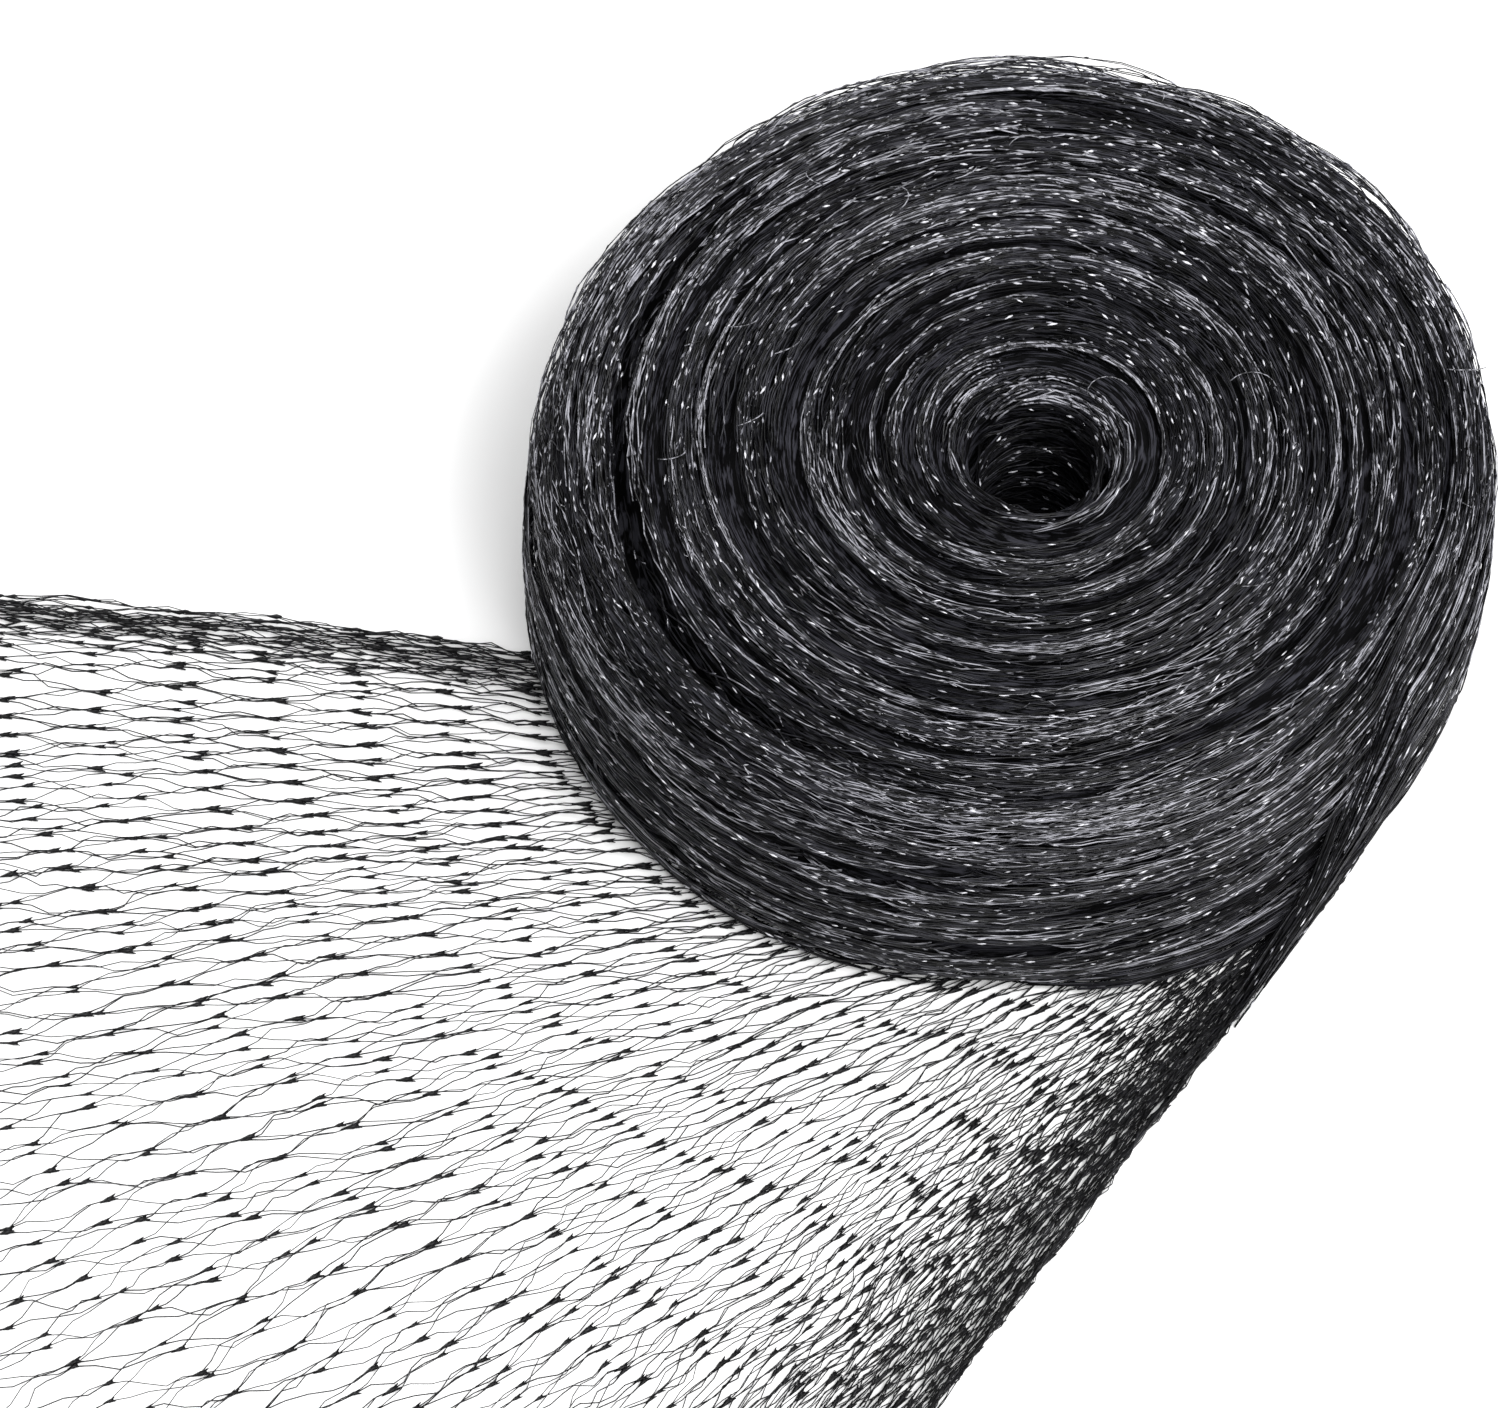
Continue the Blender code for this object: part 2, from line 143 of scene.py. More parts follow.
def start_material(name: str) -> tuple[bpy.types.Material, bpy.types.Node]:
    """Starts a material, and gives its shader too.

    Args:
        name: The material's name.

    Returns:
        The material and its shader.
    """
    made = bpy.data.materials.new(name)
    made.use_nodes = True
    return made, made.node_tree.nodes["Principled BSDF"]


def linear(colour: str) -> tuple[float, float, float, float]:
    """Turns an sRGB hex value to linear red, green, blue and alpha.

    Args:
        colour: The value, such as #7f7f7f.

    Returns:
        The linear values, from 0 to 1.
    """
    parts = [int(colour[k : k + 2], 16) / 255 for k in (1, 3, 5)]
    values = [c / 12.92 if c <= 0.04045 else ((c + 0.055) / 1.055) ** 2.4 for c in parts]
    return (*values, 1.0)


def add_node(tree: bpy.types.NodeTree, kind: str, settings: dict, links: dict) -> bpy.types.Node:
    """Adds a node.

    Args:
        tree: The material's node tree.
        kind: The node's type.
        settings: Values for its input sockets, by name or number, or else for its own properties.
        links: The output socket that each of its input sockets takes.

    Returns:
        The node.
    """
    made = tree.nodes.new(kind)
    for name, value in settings.items():
        if isinstance(name, int) or name in made.inputs:
            made.inputs[name].default_value = value
        else:
            setattr(made, name, value)
    for name, source in links.items():
        tree.links.new(source, made.inputs[name])
    return made


def along_winding(tree: bpy.types.NodeTree, length: float, width: float) -> bpy.types.NodeSocket:
    """Coordinates that are stretched along the winding.

    Args:
        tree: The material's node tree.
        length: How long a patch is along the winding, in millimetres.
        width: How wide it is, across the face or up the wall.

    Returns:
        The socket with the coordinates.
    """
    place = add_node(tree, "ShaderNodeTexCoord", {}, {}).outputs["Object"]
    centre = (-ROLL_AXIS[0] * MM, -ROLL_AXIS[1] * MM, 0.0)
    centred = add_node(tree, "ShaderNodeMapping", {"Location": centre}, {"Vector": place}).outputs["Vector"]
    flat = add_node(tree, "ShaderNodeVectorMath", {"operation": "MULTIPLY", 1: (1.0, 1.0, 0.0)}, {0: centred})
    radius = add_node(tree, "ShaderNodeVectorMath", {"operation": "LENGTH"}, {0: flat.outputs["Vector"]})
    parts = add_node(tree, "ShaderNodeSeparateXYZ", {}, {0: centred}).outputs
    across = add_node(
        tree, "ShaderNodeMath", {"operation": "SUBTRACT"}, {0: radius.outputs["Value"], 1: parts["Z"]}
    ).outputs["Value"]
    whole = add_node(tree, "ShaderNodeCombineXYZ", {}, {0: parts["X"], 1: parts["Y"], 2: across}).outputs["Vector"]
    scale = (1 / (length * MM), 1 / (length * MM), 1 / (width * MM))
    return add_node(tree, "ShaderNodeMapping", {"Scale": scale}, {"Vector": whole}).outputs["Vector"]


@dataclass(frozen=True)
class TwineFinish:
    """Drawn polyethylene twine, carbon black: smooth enough for a thin line of light along each strand. On the roll
    its lighter patches are painted lit strokes, and its copies are painted lit and shaded.
    """

    name: str
    dark: str
    pale: str
    # On the roll's twine the lighter patches are painted lit strokes; on the loose net they are the twine's own
    # random tone.
    patch: tuple[float, float]  # length and width of the lighter and darker patches
    roughness: tuple[float, float]
    specular: float = 0.5
    fibre: float = 0.35  # size of the twine's own fibres, drawn coarser than they are to show

    def material(self) -> bpy.types.Material:
        """Builds the material, with patchy colour and roughness and a fibre bump.

        Returns:
            The material.
        """
        made, shader = start_material(self.name)
        tree = made.node_tree
        where = add_node(tree, "ShaderNodeTexCoord", {}, {}).outputs["Object"]
        patches = add_node(
            tree,
            "ShaderNodeTexNoise",
            {"Scale": 1.0, "Detail": 3.0, "Roughness": 0.6},
            {"Vector": along_winding(tree, *self.patch)},
        ).outputs["Fac"]
        colours = add_node(tree, "ShaderNodeValToRGB", {}, {"Fac": patches})
        low, high = colours.color_ramp.elements
        low.position, low.color = 0.43, linear(self.dark)
        high.position, high.color = 0.6, linear(self.pale)
        rough = add_node(
            tree,
            "ShaderNodeMapRange",
            {"From Min": 0.35, "From Max": 0.65, "To Min": self.roughness[1], "To Max": self.roughness[0]},
            {"Value": patches},
        ).outputs["Result"]
        fibres = add_node(
            tree,
            "ShaderNodeTexNoise",
            {"Scale": 1 / (self.fibre * MM), "Detail": 2.0},
            {"Vector": where},
        ).outputs["Fac"]
        bump = add_node(tree, "ShaderNodeBump", {"Strength": 0.35, "Distance": 0.05 * MM}, {"Height": fibres})
        tree.links.new(colours.outputs["Color"], shader.inputs["Base Color"])
        tree.links.new(rough, shader.inputs["Roughness"])
        tree.links.new(bump.outputs["Normal"], shader.inputs["Normal"])
        shader.inputs["IOR"].default_value = 1.51
        shader.inputs["Specular IOR Level"].default_value = self.specular
        return made


@dataclass(frozen=True)
class PackedFinish:
    """The wound twine seen between the upper strands, streaked along the winding: its near-black is painted shade,
    where the strands above keep the light out.
    """

    name: str = "packed_twine_painted_shade"
    # Painted shade: near-black where the strands above keep the light out.
    dark: str = "#020203"
    pale: str = "#323238"
    streak: tuple[float, float] = (6.0, 0.5)  # length and width of one strand
    bundle: tuple[float, float] = (45.0, 3.0)  # length and width of one bundle

    def material(self) -> bpy.types.Material:
        """Builds the material: fine strands, in lighter and darker bundles.

        Returns:
            The material.
        """
        made, shader = start_material(self.name)
        tree = made.node_tree
        where = add_node(tree, "ShaderNodeTexCoord", {}, {}).outputs["Object"]
        parts = add_node(tree, "ShaderNodeSeparateXYZ", {}, {"Vector": where}).outputs
        across = add_node(tree, "ShaderNodeAttribute", {"attribute_name": "across"}, {}).outputs["Fac"]
        spot = {"X": parts["X"], "Y": parts["Y"], "Z": across}
        wound = add_node(tree, "ShaderNodeCombineXYZ", {}, spot).outputs["Vector"]
        patterns = []
        for length, width in (self.streak, self.bundle):
            size = {"Scale": (1 / (length * MM), 1 / (length * MM), 1 / (width * MM))}
            scaled = add_node(tree, "ShaderNodeMapping", size, {"Vector": wound}).outputs["Vector"]
            settings = {"Scale": 1.0, "Detail": 2.5, "Roughness": 0.6}
            patterns.append(add_node(tree, "ShaderNodeTexNoise", settings, {"Vector": scaled}).outputs["Fac"])
        streaks, bundles = patterns
        both = add_node(
            tree, "ShaderNodeMath", {"operation": "MULTIPLY_ADD", 1: 0.45}, {0: bundles, 2: streaks}
        ).outputs["Value"]
        colours = add_node(tree, "ShaderNodeValToRGB", {}, {"Fac": both})
        low, high = colours.color_ramp.elements
        low.position, low.color = 0.73, linear(self.dark)
        high.position, high.color = 0.83, linear(self.pale)
        bump = add_node(tree, "ShaderNodeBump", {"Strength": 0.9, "Distance": 0.5 * MM}, {"Height": streaks})
        tree.links.new(colours.outputs["Color"], shader.inputs["Base Color"])
        tree.links.new(bump.outputs["Normal"], shader.inputs["Normal"])
        shader.inputs["Roughness"].default_value = 0.7
        shader.inputs["Specular IOR Level"].default_value = 0.06  # little light comes back from between strands
        shader.inputs["IOR"].default_value = 1.51
        return made


# The roll's twine in lit and shaded copies: twine_in_shade is painted shade, the charcoal copy has painted lit
# strokes, the pale copy is a painted highlight along the strands, and the knot copy a painted glint.
WOUND_FINISHES = (
    TwineFinish("twine_in_shade", "#030304", "#121216", (14.0, 1.4), (0.5, 0.65), 0.1),
    TwineFinish("twine_charcoal", "#050506", "#2f2f35", (7.0, 0.7), (0.36, 0.5), 0.25),
    # Painted highlight: lit strands of the black twine, pale grey.
    TwineFinish("twine_painted_highlight", "#121215", "#a0a0a8", (6.0, 0.6), (0.3, 0.42), 0.5),
    # Painted glint: the light caught on the black knots, near white.
    TwineFinish("knot_painted_glint", "#5e5e66", "#e2e2e8", (5.0, 1.5), (0.24, 0.36), 0.7),
)
LOOSE_FINISHES = (
    TwineFinish("loose_twine_black", "#040405", "#0f0f12", (12.0, 3.0), (0.45, 0.6), 0.15),
    TwineFinish("loose_twine_worn", "#09090b", "#19191c", (12.0, 3.0), (0.45, 0.6), 0.2),
    TwineFinish("loose_twine_grey", "#101013", "#2a2a2e", (12.0, 3.0), (0.4, 0.55), 0.25),
    TwineFinish("loose_knot_black", "#040405", "#101013", (4.0, 2.0), (0.4, 0.55), 0.2),
)


# Twine


@dataclass
class Twine:
    """Threads and knots that are made one piece: each is a line with a few-sided section."""

    name: str
    finishes: Sequence[bpy.types.Material]
    sides: int = 3
    curve: bpy.types.Curve = field(init=False)
    section: bpy.types.Object = field(init=False)

    def __post_init__(self) -> None:
        """Makes the empty curve and its section, a polygon one millimetre in radius."""
        outline = bpy.data.curves.new(f"{self.name}_section", "CURVE")
        spline = outline.splines.new("POLY")
        spline.points.add(self.sides - 1)
        for k, point in enumerate(spline.points):
            angle = 2 * math.pi * k / self.sides
            point.co = (MM * math.cos(angle), MM * math.sin(angle), 0, 1)
        spline.use_cyclic_u = True
        self.section = add_object(outline.name, outline)
        self.curve = bpy.data.curves.new(self.name, "CURVE")
        self.curve.dimensions = "3D"
        self.curve.bevel_mode = "OBJECT"
        self.curve.bevel_object = self.section
        self.curve.use_fill_caps = True
        for finish in self.finishes:
            self.curve.materials.append(finish)

    def add(self, points: np.ndarray, radius: float | np.ndarray, look: Look = Look.PLAIN) -> None:
        """Adds one line.

        Args:
            points: Its points, three columns, in millimetres.
            radius: Its radius in millimetres, or one for each point.
            look: Which finish it takes.
        """
        spline = self.curve.splines.new("POLY")
        spline.points.add(len(points) - 1)
        flat = np.ones((len(points), 4))
        flat[:, :3] = points * MM
        spline.points.foreach_set("co", flat.ravel())
        spline.points.foreach_set("radius", np.broadcast_to(radius, len(points)).astype(float))
        spline.material_index = look.value
        spline.use_smooth = True

    def piece(self) -> bpy.types.Object:
        """Makes the lines one mesh object and removes what it was made from.

        Returns:
            The object.
        """
        source = add_object(f"{self.name}_lines", self.curve)
        graph = bpy.context.evaluated_depsgraph_get()
        mesh = bpy.data.meshes.new_from_object(source.evaluated_get(graph))
        mesh.name = self.name
        bm = bmesh.new()
        bm.from_mesh(mesh)
        bmesh.ops.remove_doubles(bm, verts=bm.verts, dist=0.001 * MM)
        bmesh.ops.recalc_face_normals(bm, faces=bm.faces)
        bm.to_mesh(mesh)
        bm.free()
        made = add_object(self.name, mesh)
        for used in (source, self.section):
            bpy.data.objects.remove(used)
        return made


# The wound netting


@dataclass(frozen=True)
class Winding:
    """Where the wound netting lies, with the sizes of its solid. Turns are counted from the hole outwards."""

    leave_azimuth: float = -33.0  # degrees from +X
    lean: float = 3.9  # how far the top is to the right of the foot
    inner_shift: tuple[float, float] = (3.0, 1.0)
    sides: tuple[float, ...] = (0.164, 0.414, 0.664, 0.914)  # shares of a turn at the front, left, back and right
    # The groove inside each turn: its radius at those four sides, and its depth.
    turns: tuple[tuple[float, ...], ...] = (
        (13.0, 13.2, 13.8, 15.0, 0.0),
        (17.5, 18.8, 20.5, 22.5, 2.4),
        (24.0, 25.5, 27.5, 28.8, 2.8),
        (30.6, 33.0, 35.5, 36.5, 4.6),
        (39.6, 40.6, 44.6, 46.0, 3.8),
        (47.6, 49.4, 52.6, 54.6, 6.0),
        (56.2, 57.4, 59.0, 60.6, 2.8),
        (63.0, 64.4, 66.2, 67.6, 3.4),
        (70.4, 71.8, 73.2, 74.4, 6.4),
        (81.0, 78.8, 81.0, 84.2, 4.4),
        (93.6, 88.0, 88.4, 92.4, 8.0),
    )
    bridged: float = 0.34  # the upper strands bridge the grooves to this share of their depth
    # The hollow at the left of the last groove: its middle and half its length in turns, and its depth.
    hollow: tuple[float, float, float] = (0.36, 0.17, 9.0)
    fade: float = 0.08  # how many turns before the end the last groove fades out
    crest_radius: tuple[float, ...] = (12.0, 18.0, 24.0, 38.0, 55.0, 76.0, 90.0, 101.0)
    crest_height: tuple[float, ...] = (54.0, 58.4, 60.6, 61.6, 62.2, 62.2, 61.2, 58.4)
    wall_share: tuple[float, ...] = (0.0, 0.089, 0.164, 0.414, 0.664, 0.914, 1.0)
    wall_radius: tuple[float, ...] = (93.6, 99.6, 102.6, 104.6, 103.2, 100.8, 100.4)
    shoulder_radius: tuple[float, ...] = (90.2, 96.4, 99.4, 99.8, 100.4, 98.8, 97.4)
    shoulder_height: float = 58.6
    # The wall bulges like a barrel: its lanes, the last one below the shoulder, with their heights and offsets.
    barrel_lanes: tuple[float, ...] = (0.0, 0.03, 0.1, 0.22, 0.36, 0.51, 0.66, 0.8, 0.91)
    barrel_height: tuple[float, ...] = (0.0, 1.8, 6.0, 13.0, 21.0, 30.0, 39.0, 47.0, 53.4)
    barrel_offset: tuple[float, ...] = (-4.6, -2.2, -0.8, 0.2, 0.9, 1.3, 1.1, 0.2, -1.4)
    hole_height: tuple[float, ...] = (0.0, 2.2, 16.0, 32.0, 47.0, 56.0)
    hole_offset: tuple[float, ...] = (3.0, 1.2, 0.6, 0.0, -0.4, 0.0)

    @property
    def count(self) -> int:
        """How many turns there are."""
        return len(self.turns)

    def table(self, last: float) -> tuple[list[float], list[float], list[float]]:
        """The grooves' places, radii and depths in one list each, with the outer edge last.

        Args:
            last: The radius where the last turn ends, in millimetres.

        Returns:
            The places in turns, and the radii and depths there.
        """
        places, radii, depths = [0.0], [12.8], [0.0]
        for number, row in enumerate(self.turns):
            places += [number + side for side in self.sides]
            radii += row[:4]
            depths += [row[4]] * 4
        return [*places, float(self.count)], [*radii, last], [*depths, 0.0]

    def drop(self, turn: np.ndarray) -> np.ndarray:
        """How far the last turn has come down, just before it leaves."""
        return np.interp(turn - (self.count - 1), (0.0, 0.82, 0.93, 1.0), (0.0, 0.0, 5.0, 14.0))

    def crest(self, turn: np.ndarray, radius: np.ndarray) -> np.ndarray:
        """The height of the wound face, uneven along the winding."""
        uneven = 0.7 * np.sin(10.7 * turn + 0.6) + 0.5 * np.sin(27.1 * turn + 2.1)
        return np.interp(radius, self.crest_radius, self.crest_height) + uneven * np.minimum(1.0, radius / 40)

    def groove(self, turn: np.ndarray) -> tuple[np.ndarray, np.ndarray]:
        """The groove's radius and height after so many turns. Past the last it is the roll's shoulder.

        Args:
            turn: Turns from the inner end.

        Returns:
            The groove's radii and its heights.
        """
        places, radii, depths = self.table(self.shoulder_radius[0])
        radius = eased(turn, places, radii)
        depth = self.bridged * eased(turn, places, depths)
        middle, half, deepest = self.hollow
        off = np.abs(turn - (self.count - 1) - middle) / half
        depth += deepest * np.clip(1 - off * off, 0, None)
        depth *= np.clip((self.count - turn) / self.fade, 0, 1)
        end = np.clip((turn - self.count + self.fade) / self.fade, 0, 1)
        height = (1 - end) * (self.crest(turn, radius) - depth) + end * self.shoulder_height
        share = turn - self.count
        past = share >= 0
        shoulder = self.shoulder_height + 0.8 * np.sin(6 * math.pi * share) - self.drop(turn - 1)
        edge = eased(share, self.wall_share, self.shoulder_radius)
        return np.where(past, edge, radius), np.where(past, shoulder, height)

    def place(self, turn: np.ndarray, radius: np.ndarray, height: np.ndarray) -> np.ndarray:
        """Points of the roll, clockwise by their turns, then leaned and shifted.

        Args:
            turn: Turns from the inner end.
            radius: Distance from the axis.
            height: Height over the floor.

        Returns:
            Three columns: x, y and z.
        """
        azimuth = np.radians(self.leave_azimuth - 360.0 * turn)
        inner = np.clip(1 - radius / 60.0, 0, None)
        x = ROLL_AXIS[0] + radius * np.cos(azimuth) + self.lean * height / 62.0 + self.inner_shift[0] * inner
        y = ROLL_AXIS[1] + radius * np.sin(azimuth) + self.inner_shift[1] * inner
        return np.stack(np.broadcast_arrays(x, y, height), axis=-1)

    def face(self, turn: np.ndarray, lane: np.ndarray, lift: np.ndarray) -> np.ndarray:
        """Points of the upper face: lane runs from 0 in a turn's inner groove to 1 in its outer one.

        Args:
            turn: Turns from the inner end.
            lane: Where they lie across the turn.
            lift: How high they lie over the surface.

        Returns:
            Three columns: x, y and z.
        """
        inner, inner_height = self.groove(turn)
        outer, outer_height = self.groove(turn + 1)
        lane = np.clip(lane, 0, 1)
        radius = inner + lane * (outer - inner)
        crown = self.crest(turn, radius) - self.drop(turn)
        rise = np.clip(lane / 0.26, 0, 1) ** 0.7
        fall = np.clip((1 - lane) / 0.28, 0, 1) ** 0.7
        height = np.where(
            lane < 0.5, inner_height + (crown - inner_height) * rise, outer_height + (crown - outer_height) * fall
        )
        return self.place(turn, radius, height + lift)

    def wall(self, turn: np.ndarray, lane: np.ndarray, lift: np.ndarray) -> np.ndarray:
        """Points of the side wall of the last turn: lane runs from 0 at the foot to 1 at the shoulder.

        Args:
            turn: Turns from where the last turn begins.
            lane: How far up they lie.
            lift: How far out they lie from the surface.

        Returns:
            Three columns: x, y and z.
        """
        edge, top = self.groove(self.count + turn)
        low = np.minimum(1.0, top / self.shoulder_height)
        rows, last = self.barrel_lanes, self.barrel_lanes[-1]
        share = np.clip((lane - last) / 0.09, 0, 1)
        barrel = np.interp(lane, rows, self.barrel_height) * low
        under = self.barrel_height[-1] * low
        height = np.where(lane < last, barrel, under + (top - under) * share)
        side = eased(turn, self.wall_share, self.wall_radius) + np.interp(lane, rows, self.barrel_offset)
        radius = side + (edge - side) * share**1.6
        return self.place(turn, radius + lift * (1 - 0.5 * share), height + 0.6 * lift * share)

    def hole(self, turn: np.ndarray, lane: np.ndarray, lift: np.ndarray) -> np.ndarray:
        """Points of the hole's wall: lane runs from 0 at the foot to 1 at the rim.

        Args:
            turn: Turns from the inner end.
            lane: How far up they lie.
            lift: How far in they lie from the surface.

        Returns:
            Three columns: x, y and z.
        """
        rim, top = self.groove(turn)
        height = lane * top
        radius = rim + np.interp(height, self.hole_height, self.hole_offset) * (1 - lane**6)
        return self.place(turn, radius - lift, height)

    def foot(self, turn: np.ndarray, lane: np.ndarray, lift: np.ndarray) -> np.ndarray:
        """Points of the flat foot: lane runs from 0 at the hole to 1 at the wall."""
        spread = 17.0 + lane * 78.0 + (turn % 1.0) * 4.0
        return self.place(turn, spread, 1.0 - lift)


@dataclass
class PackedForm:
    """The wound netting's mass below its upper strands, a little inside the solid."""

    winding: Winding
    columns: int = 140  # in one turn
    sink: float = 1.7  # below the upper strands
    foot: float = 2.3  # the loose end passes below the foot
    profile: float = 12.0  # over one turn's face, from groove to groove

    def skin(
        self,
        bm: bmesh.types.BMesh,
        columns: int,
        rows: int,
        place: Callable,
        start: float,
        turned: tuple[float, float],
    ) -> None:
        """Adds a grid and lays it over part of the form, with its distances across the winding.

        Args:
            bm: The mesh that it is added to.
            columns: Faces along the winding.
            rows: Faces across it.
            place: Gives the points for shares along and across the grid.
            start: The distance across the winding where both shares are 0, in millimetres.
            turned: How many profiles of a turn the two shares add to it.
        """
        layer = bm.verts.layers.float.get("across") or bm.verts.layers.float.new("across")
        made = bmesh.ops.create_grid(bm, x_segments=columns, y_segments=rows, size=0.5)["verts"]
        flat = np.array([v.co[:2] for v in made]) + 0.5
        points = no_lower(place(flat[:, 0], flat[:, 1]), self.foot)
        places = flat @ np.array(turned) * self.profile + start
        for vertex, point, at in zip(made, points, places):
            vertex.co = Vector(point) * MM
            vertex[layer] = at * MM

    def sole(self, turn: np.ndarray, share: np.ndarray) -> np.ndarray:
        """Points of the foot, from the hole's edge to the wall's. The rows between them close round the roll.

        Args:
            turn: Turns from the inner end.
            share: From 0 at the hole to 1 at the wall.

        Returns:
            Three columns: x, y and z.
        """
        w = self.winding
        between = w.place(turn, np.interp(share, (0.16, 0.84), (26.0, 84.0)), 0 * turn)
        points = np.where(share[:, None] < 0.01, w.hole(turn, 0 * turn, 0 * turn), between)
        return np.where(share[:, None] > 0.99, w.wall(turn, 0 * turn, 0 * turn), points)

    def close(self, bm: bmesh.types.BMesh) -> None:
        """Closes the band's two upright ends, the one in the hole and the one where the roll is left.

        Args:
            bm: The form's mesh, with those two gaps.
        """
        midway = 40
        for inner in (True, False):
            rim = [e for e in bm.edges if e.is_boundary and (self.reach(e) < midway) == inner]
            bmesh.ops.contextual_create(bm, geom=rim)

    def reach(self, edge: bmesh.types.BMEdge) -> float:
        """How far an edge is from the roll's axis."""
        middle = (edge.verts[0].co + edge.verts[1].co) / 2 / MM
        return math.hypot(middle.x - ROLL_AXIS[0], middle.y - ROLL_AXIS[1])

    def bundle(self, point: Vector, across: float) -> float:
        """How much a bundle of strands stands out there, in millimetres.

        Args:
            point: A place on the form, in metres.
            across: Its distance across the winding, in metres.

        Returns:
            The height, below 0 where it lies low.
        """
        x, y, _ = point / MM
        across /= MM
        broad = noise.noise(Vector((x / 30, y / 30, across / 3.2)))
        fine = noise.noise(Vector((x / 12, y / 12, across / 1.6 + 9)))
        flat = np.interp(math.hypot(x - TIP[0], y - TIP[1]), (14, 34), (0, 1))
        flat *= np.interp(math.hypot(x - ROLL_AXIS[0], y - ROLL_AXIS[1]), (15, 24), (0.3, 1))
        return (1.3 * broad + 0.5 * fine) * float(flat)

    def build(self) -> bpy.types.Object:
        """Builds the form as one closed mesh.

        Returns:
            The form's object.
        """
        w, n = self.winding, self.columns
        bm = bmesh.new()
        outside = (w.count + 6) * self.profile
        self.skin(bm, w.count * n, 11, lambda u, v: w.face(u * w.count, v, 0 * u), 0.0, (w.count, 1.0))
        self.skin(bm, n, 30, lambda u, v: w.wall(u, v, 0 * u), outside, (1.0, -5.0))
        self.skin(bm, n, 12, lambda u, v: w.hole(u, v, 0 * u), -5 * self.profile, (1.0, 5.0))
        self.skin(bm, n, 6, self.sole, -5 * self.profile, (1.0, -6.5))
        bmesh.ops.remove_doubles(bm, verts=bm.verts, dist=0.01 * MM)
        bmesh.ops.dissolve_degenerate(bm, edges=bm.edges, dist=0.001 * MM)
        self.close(bm)
        bmesh.ops.recalc_face_normals(bm, faces=bm.faces)
        if bm.calc_volume(signed=True) < 0:
            bmesh.ops.reverse_faces(bm, faces=bm.faces)
        bm.normal_update()
        layer = bm.verts.layers.float["across"]
        moves = [v.normal * (self.bundle(v.co, v[layer]) - self.sink) * MM for v in bm.verts]
        for vertex, move in zip(bm.verts, moves):
            vertex.co += move
        mesh = bpy.data.meshes.new("packed_netting")
        bm.to_mesh(mesh)
        bm.free()
        mesh.shade_smooth()
        mesh.materials.append(PackedFinish().material())
        return add_object("packed_netting", mesh)


class Skin(Enum):
    """A part of the wound form's surface that strands lie on."""

    FACE = "face"
    WALL = "wall"
    HOLE = "hole"
    FOOT = "foot"


LANES = {Skin.WALL: (WALL_RADIUS, 60.0), Skin.HOLE: (14.0, 55.0), Skin.FOOT: (60.0, 78.0)}  # radius and whole width


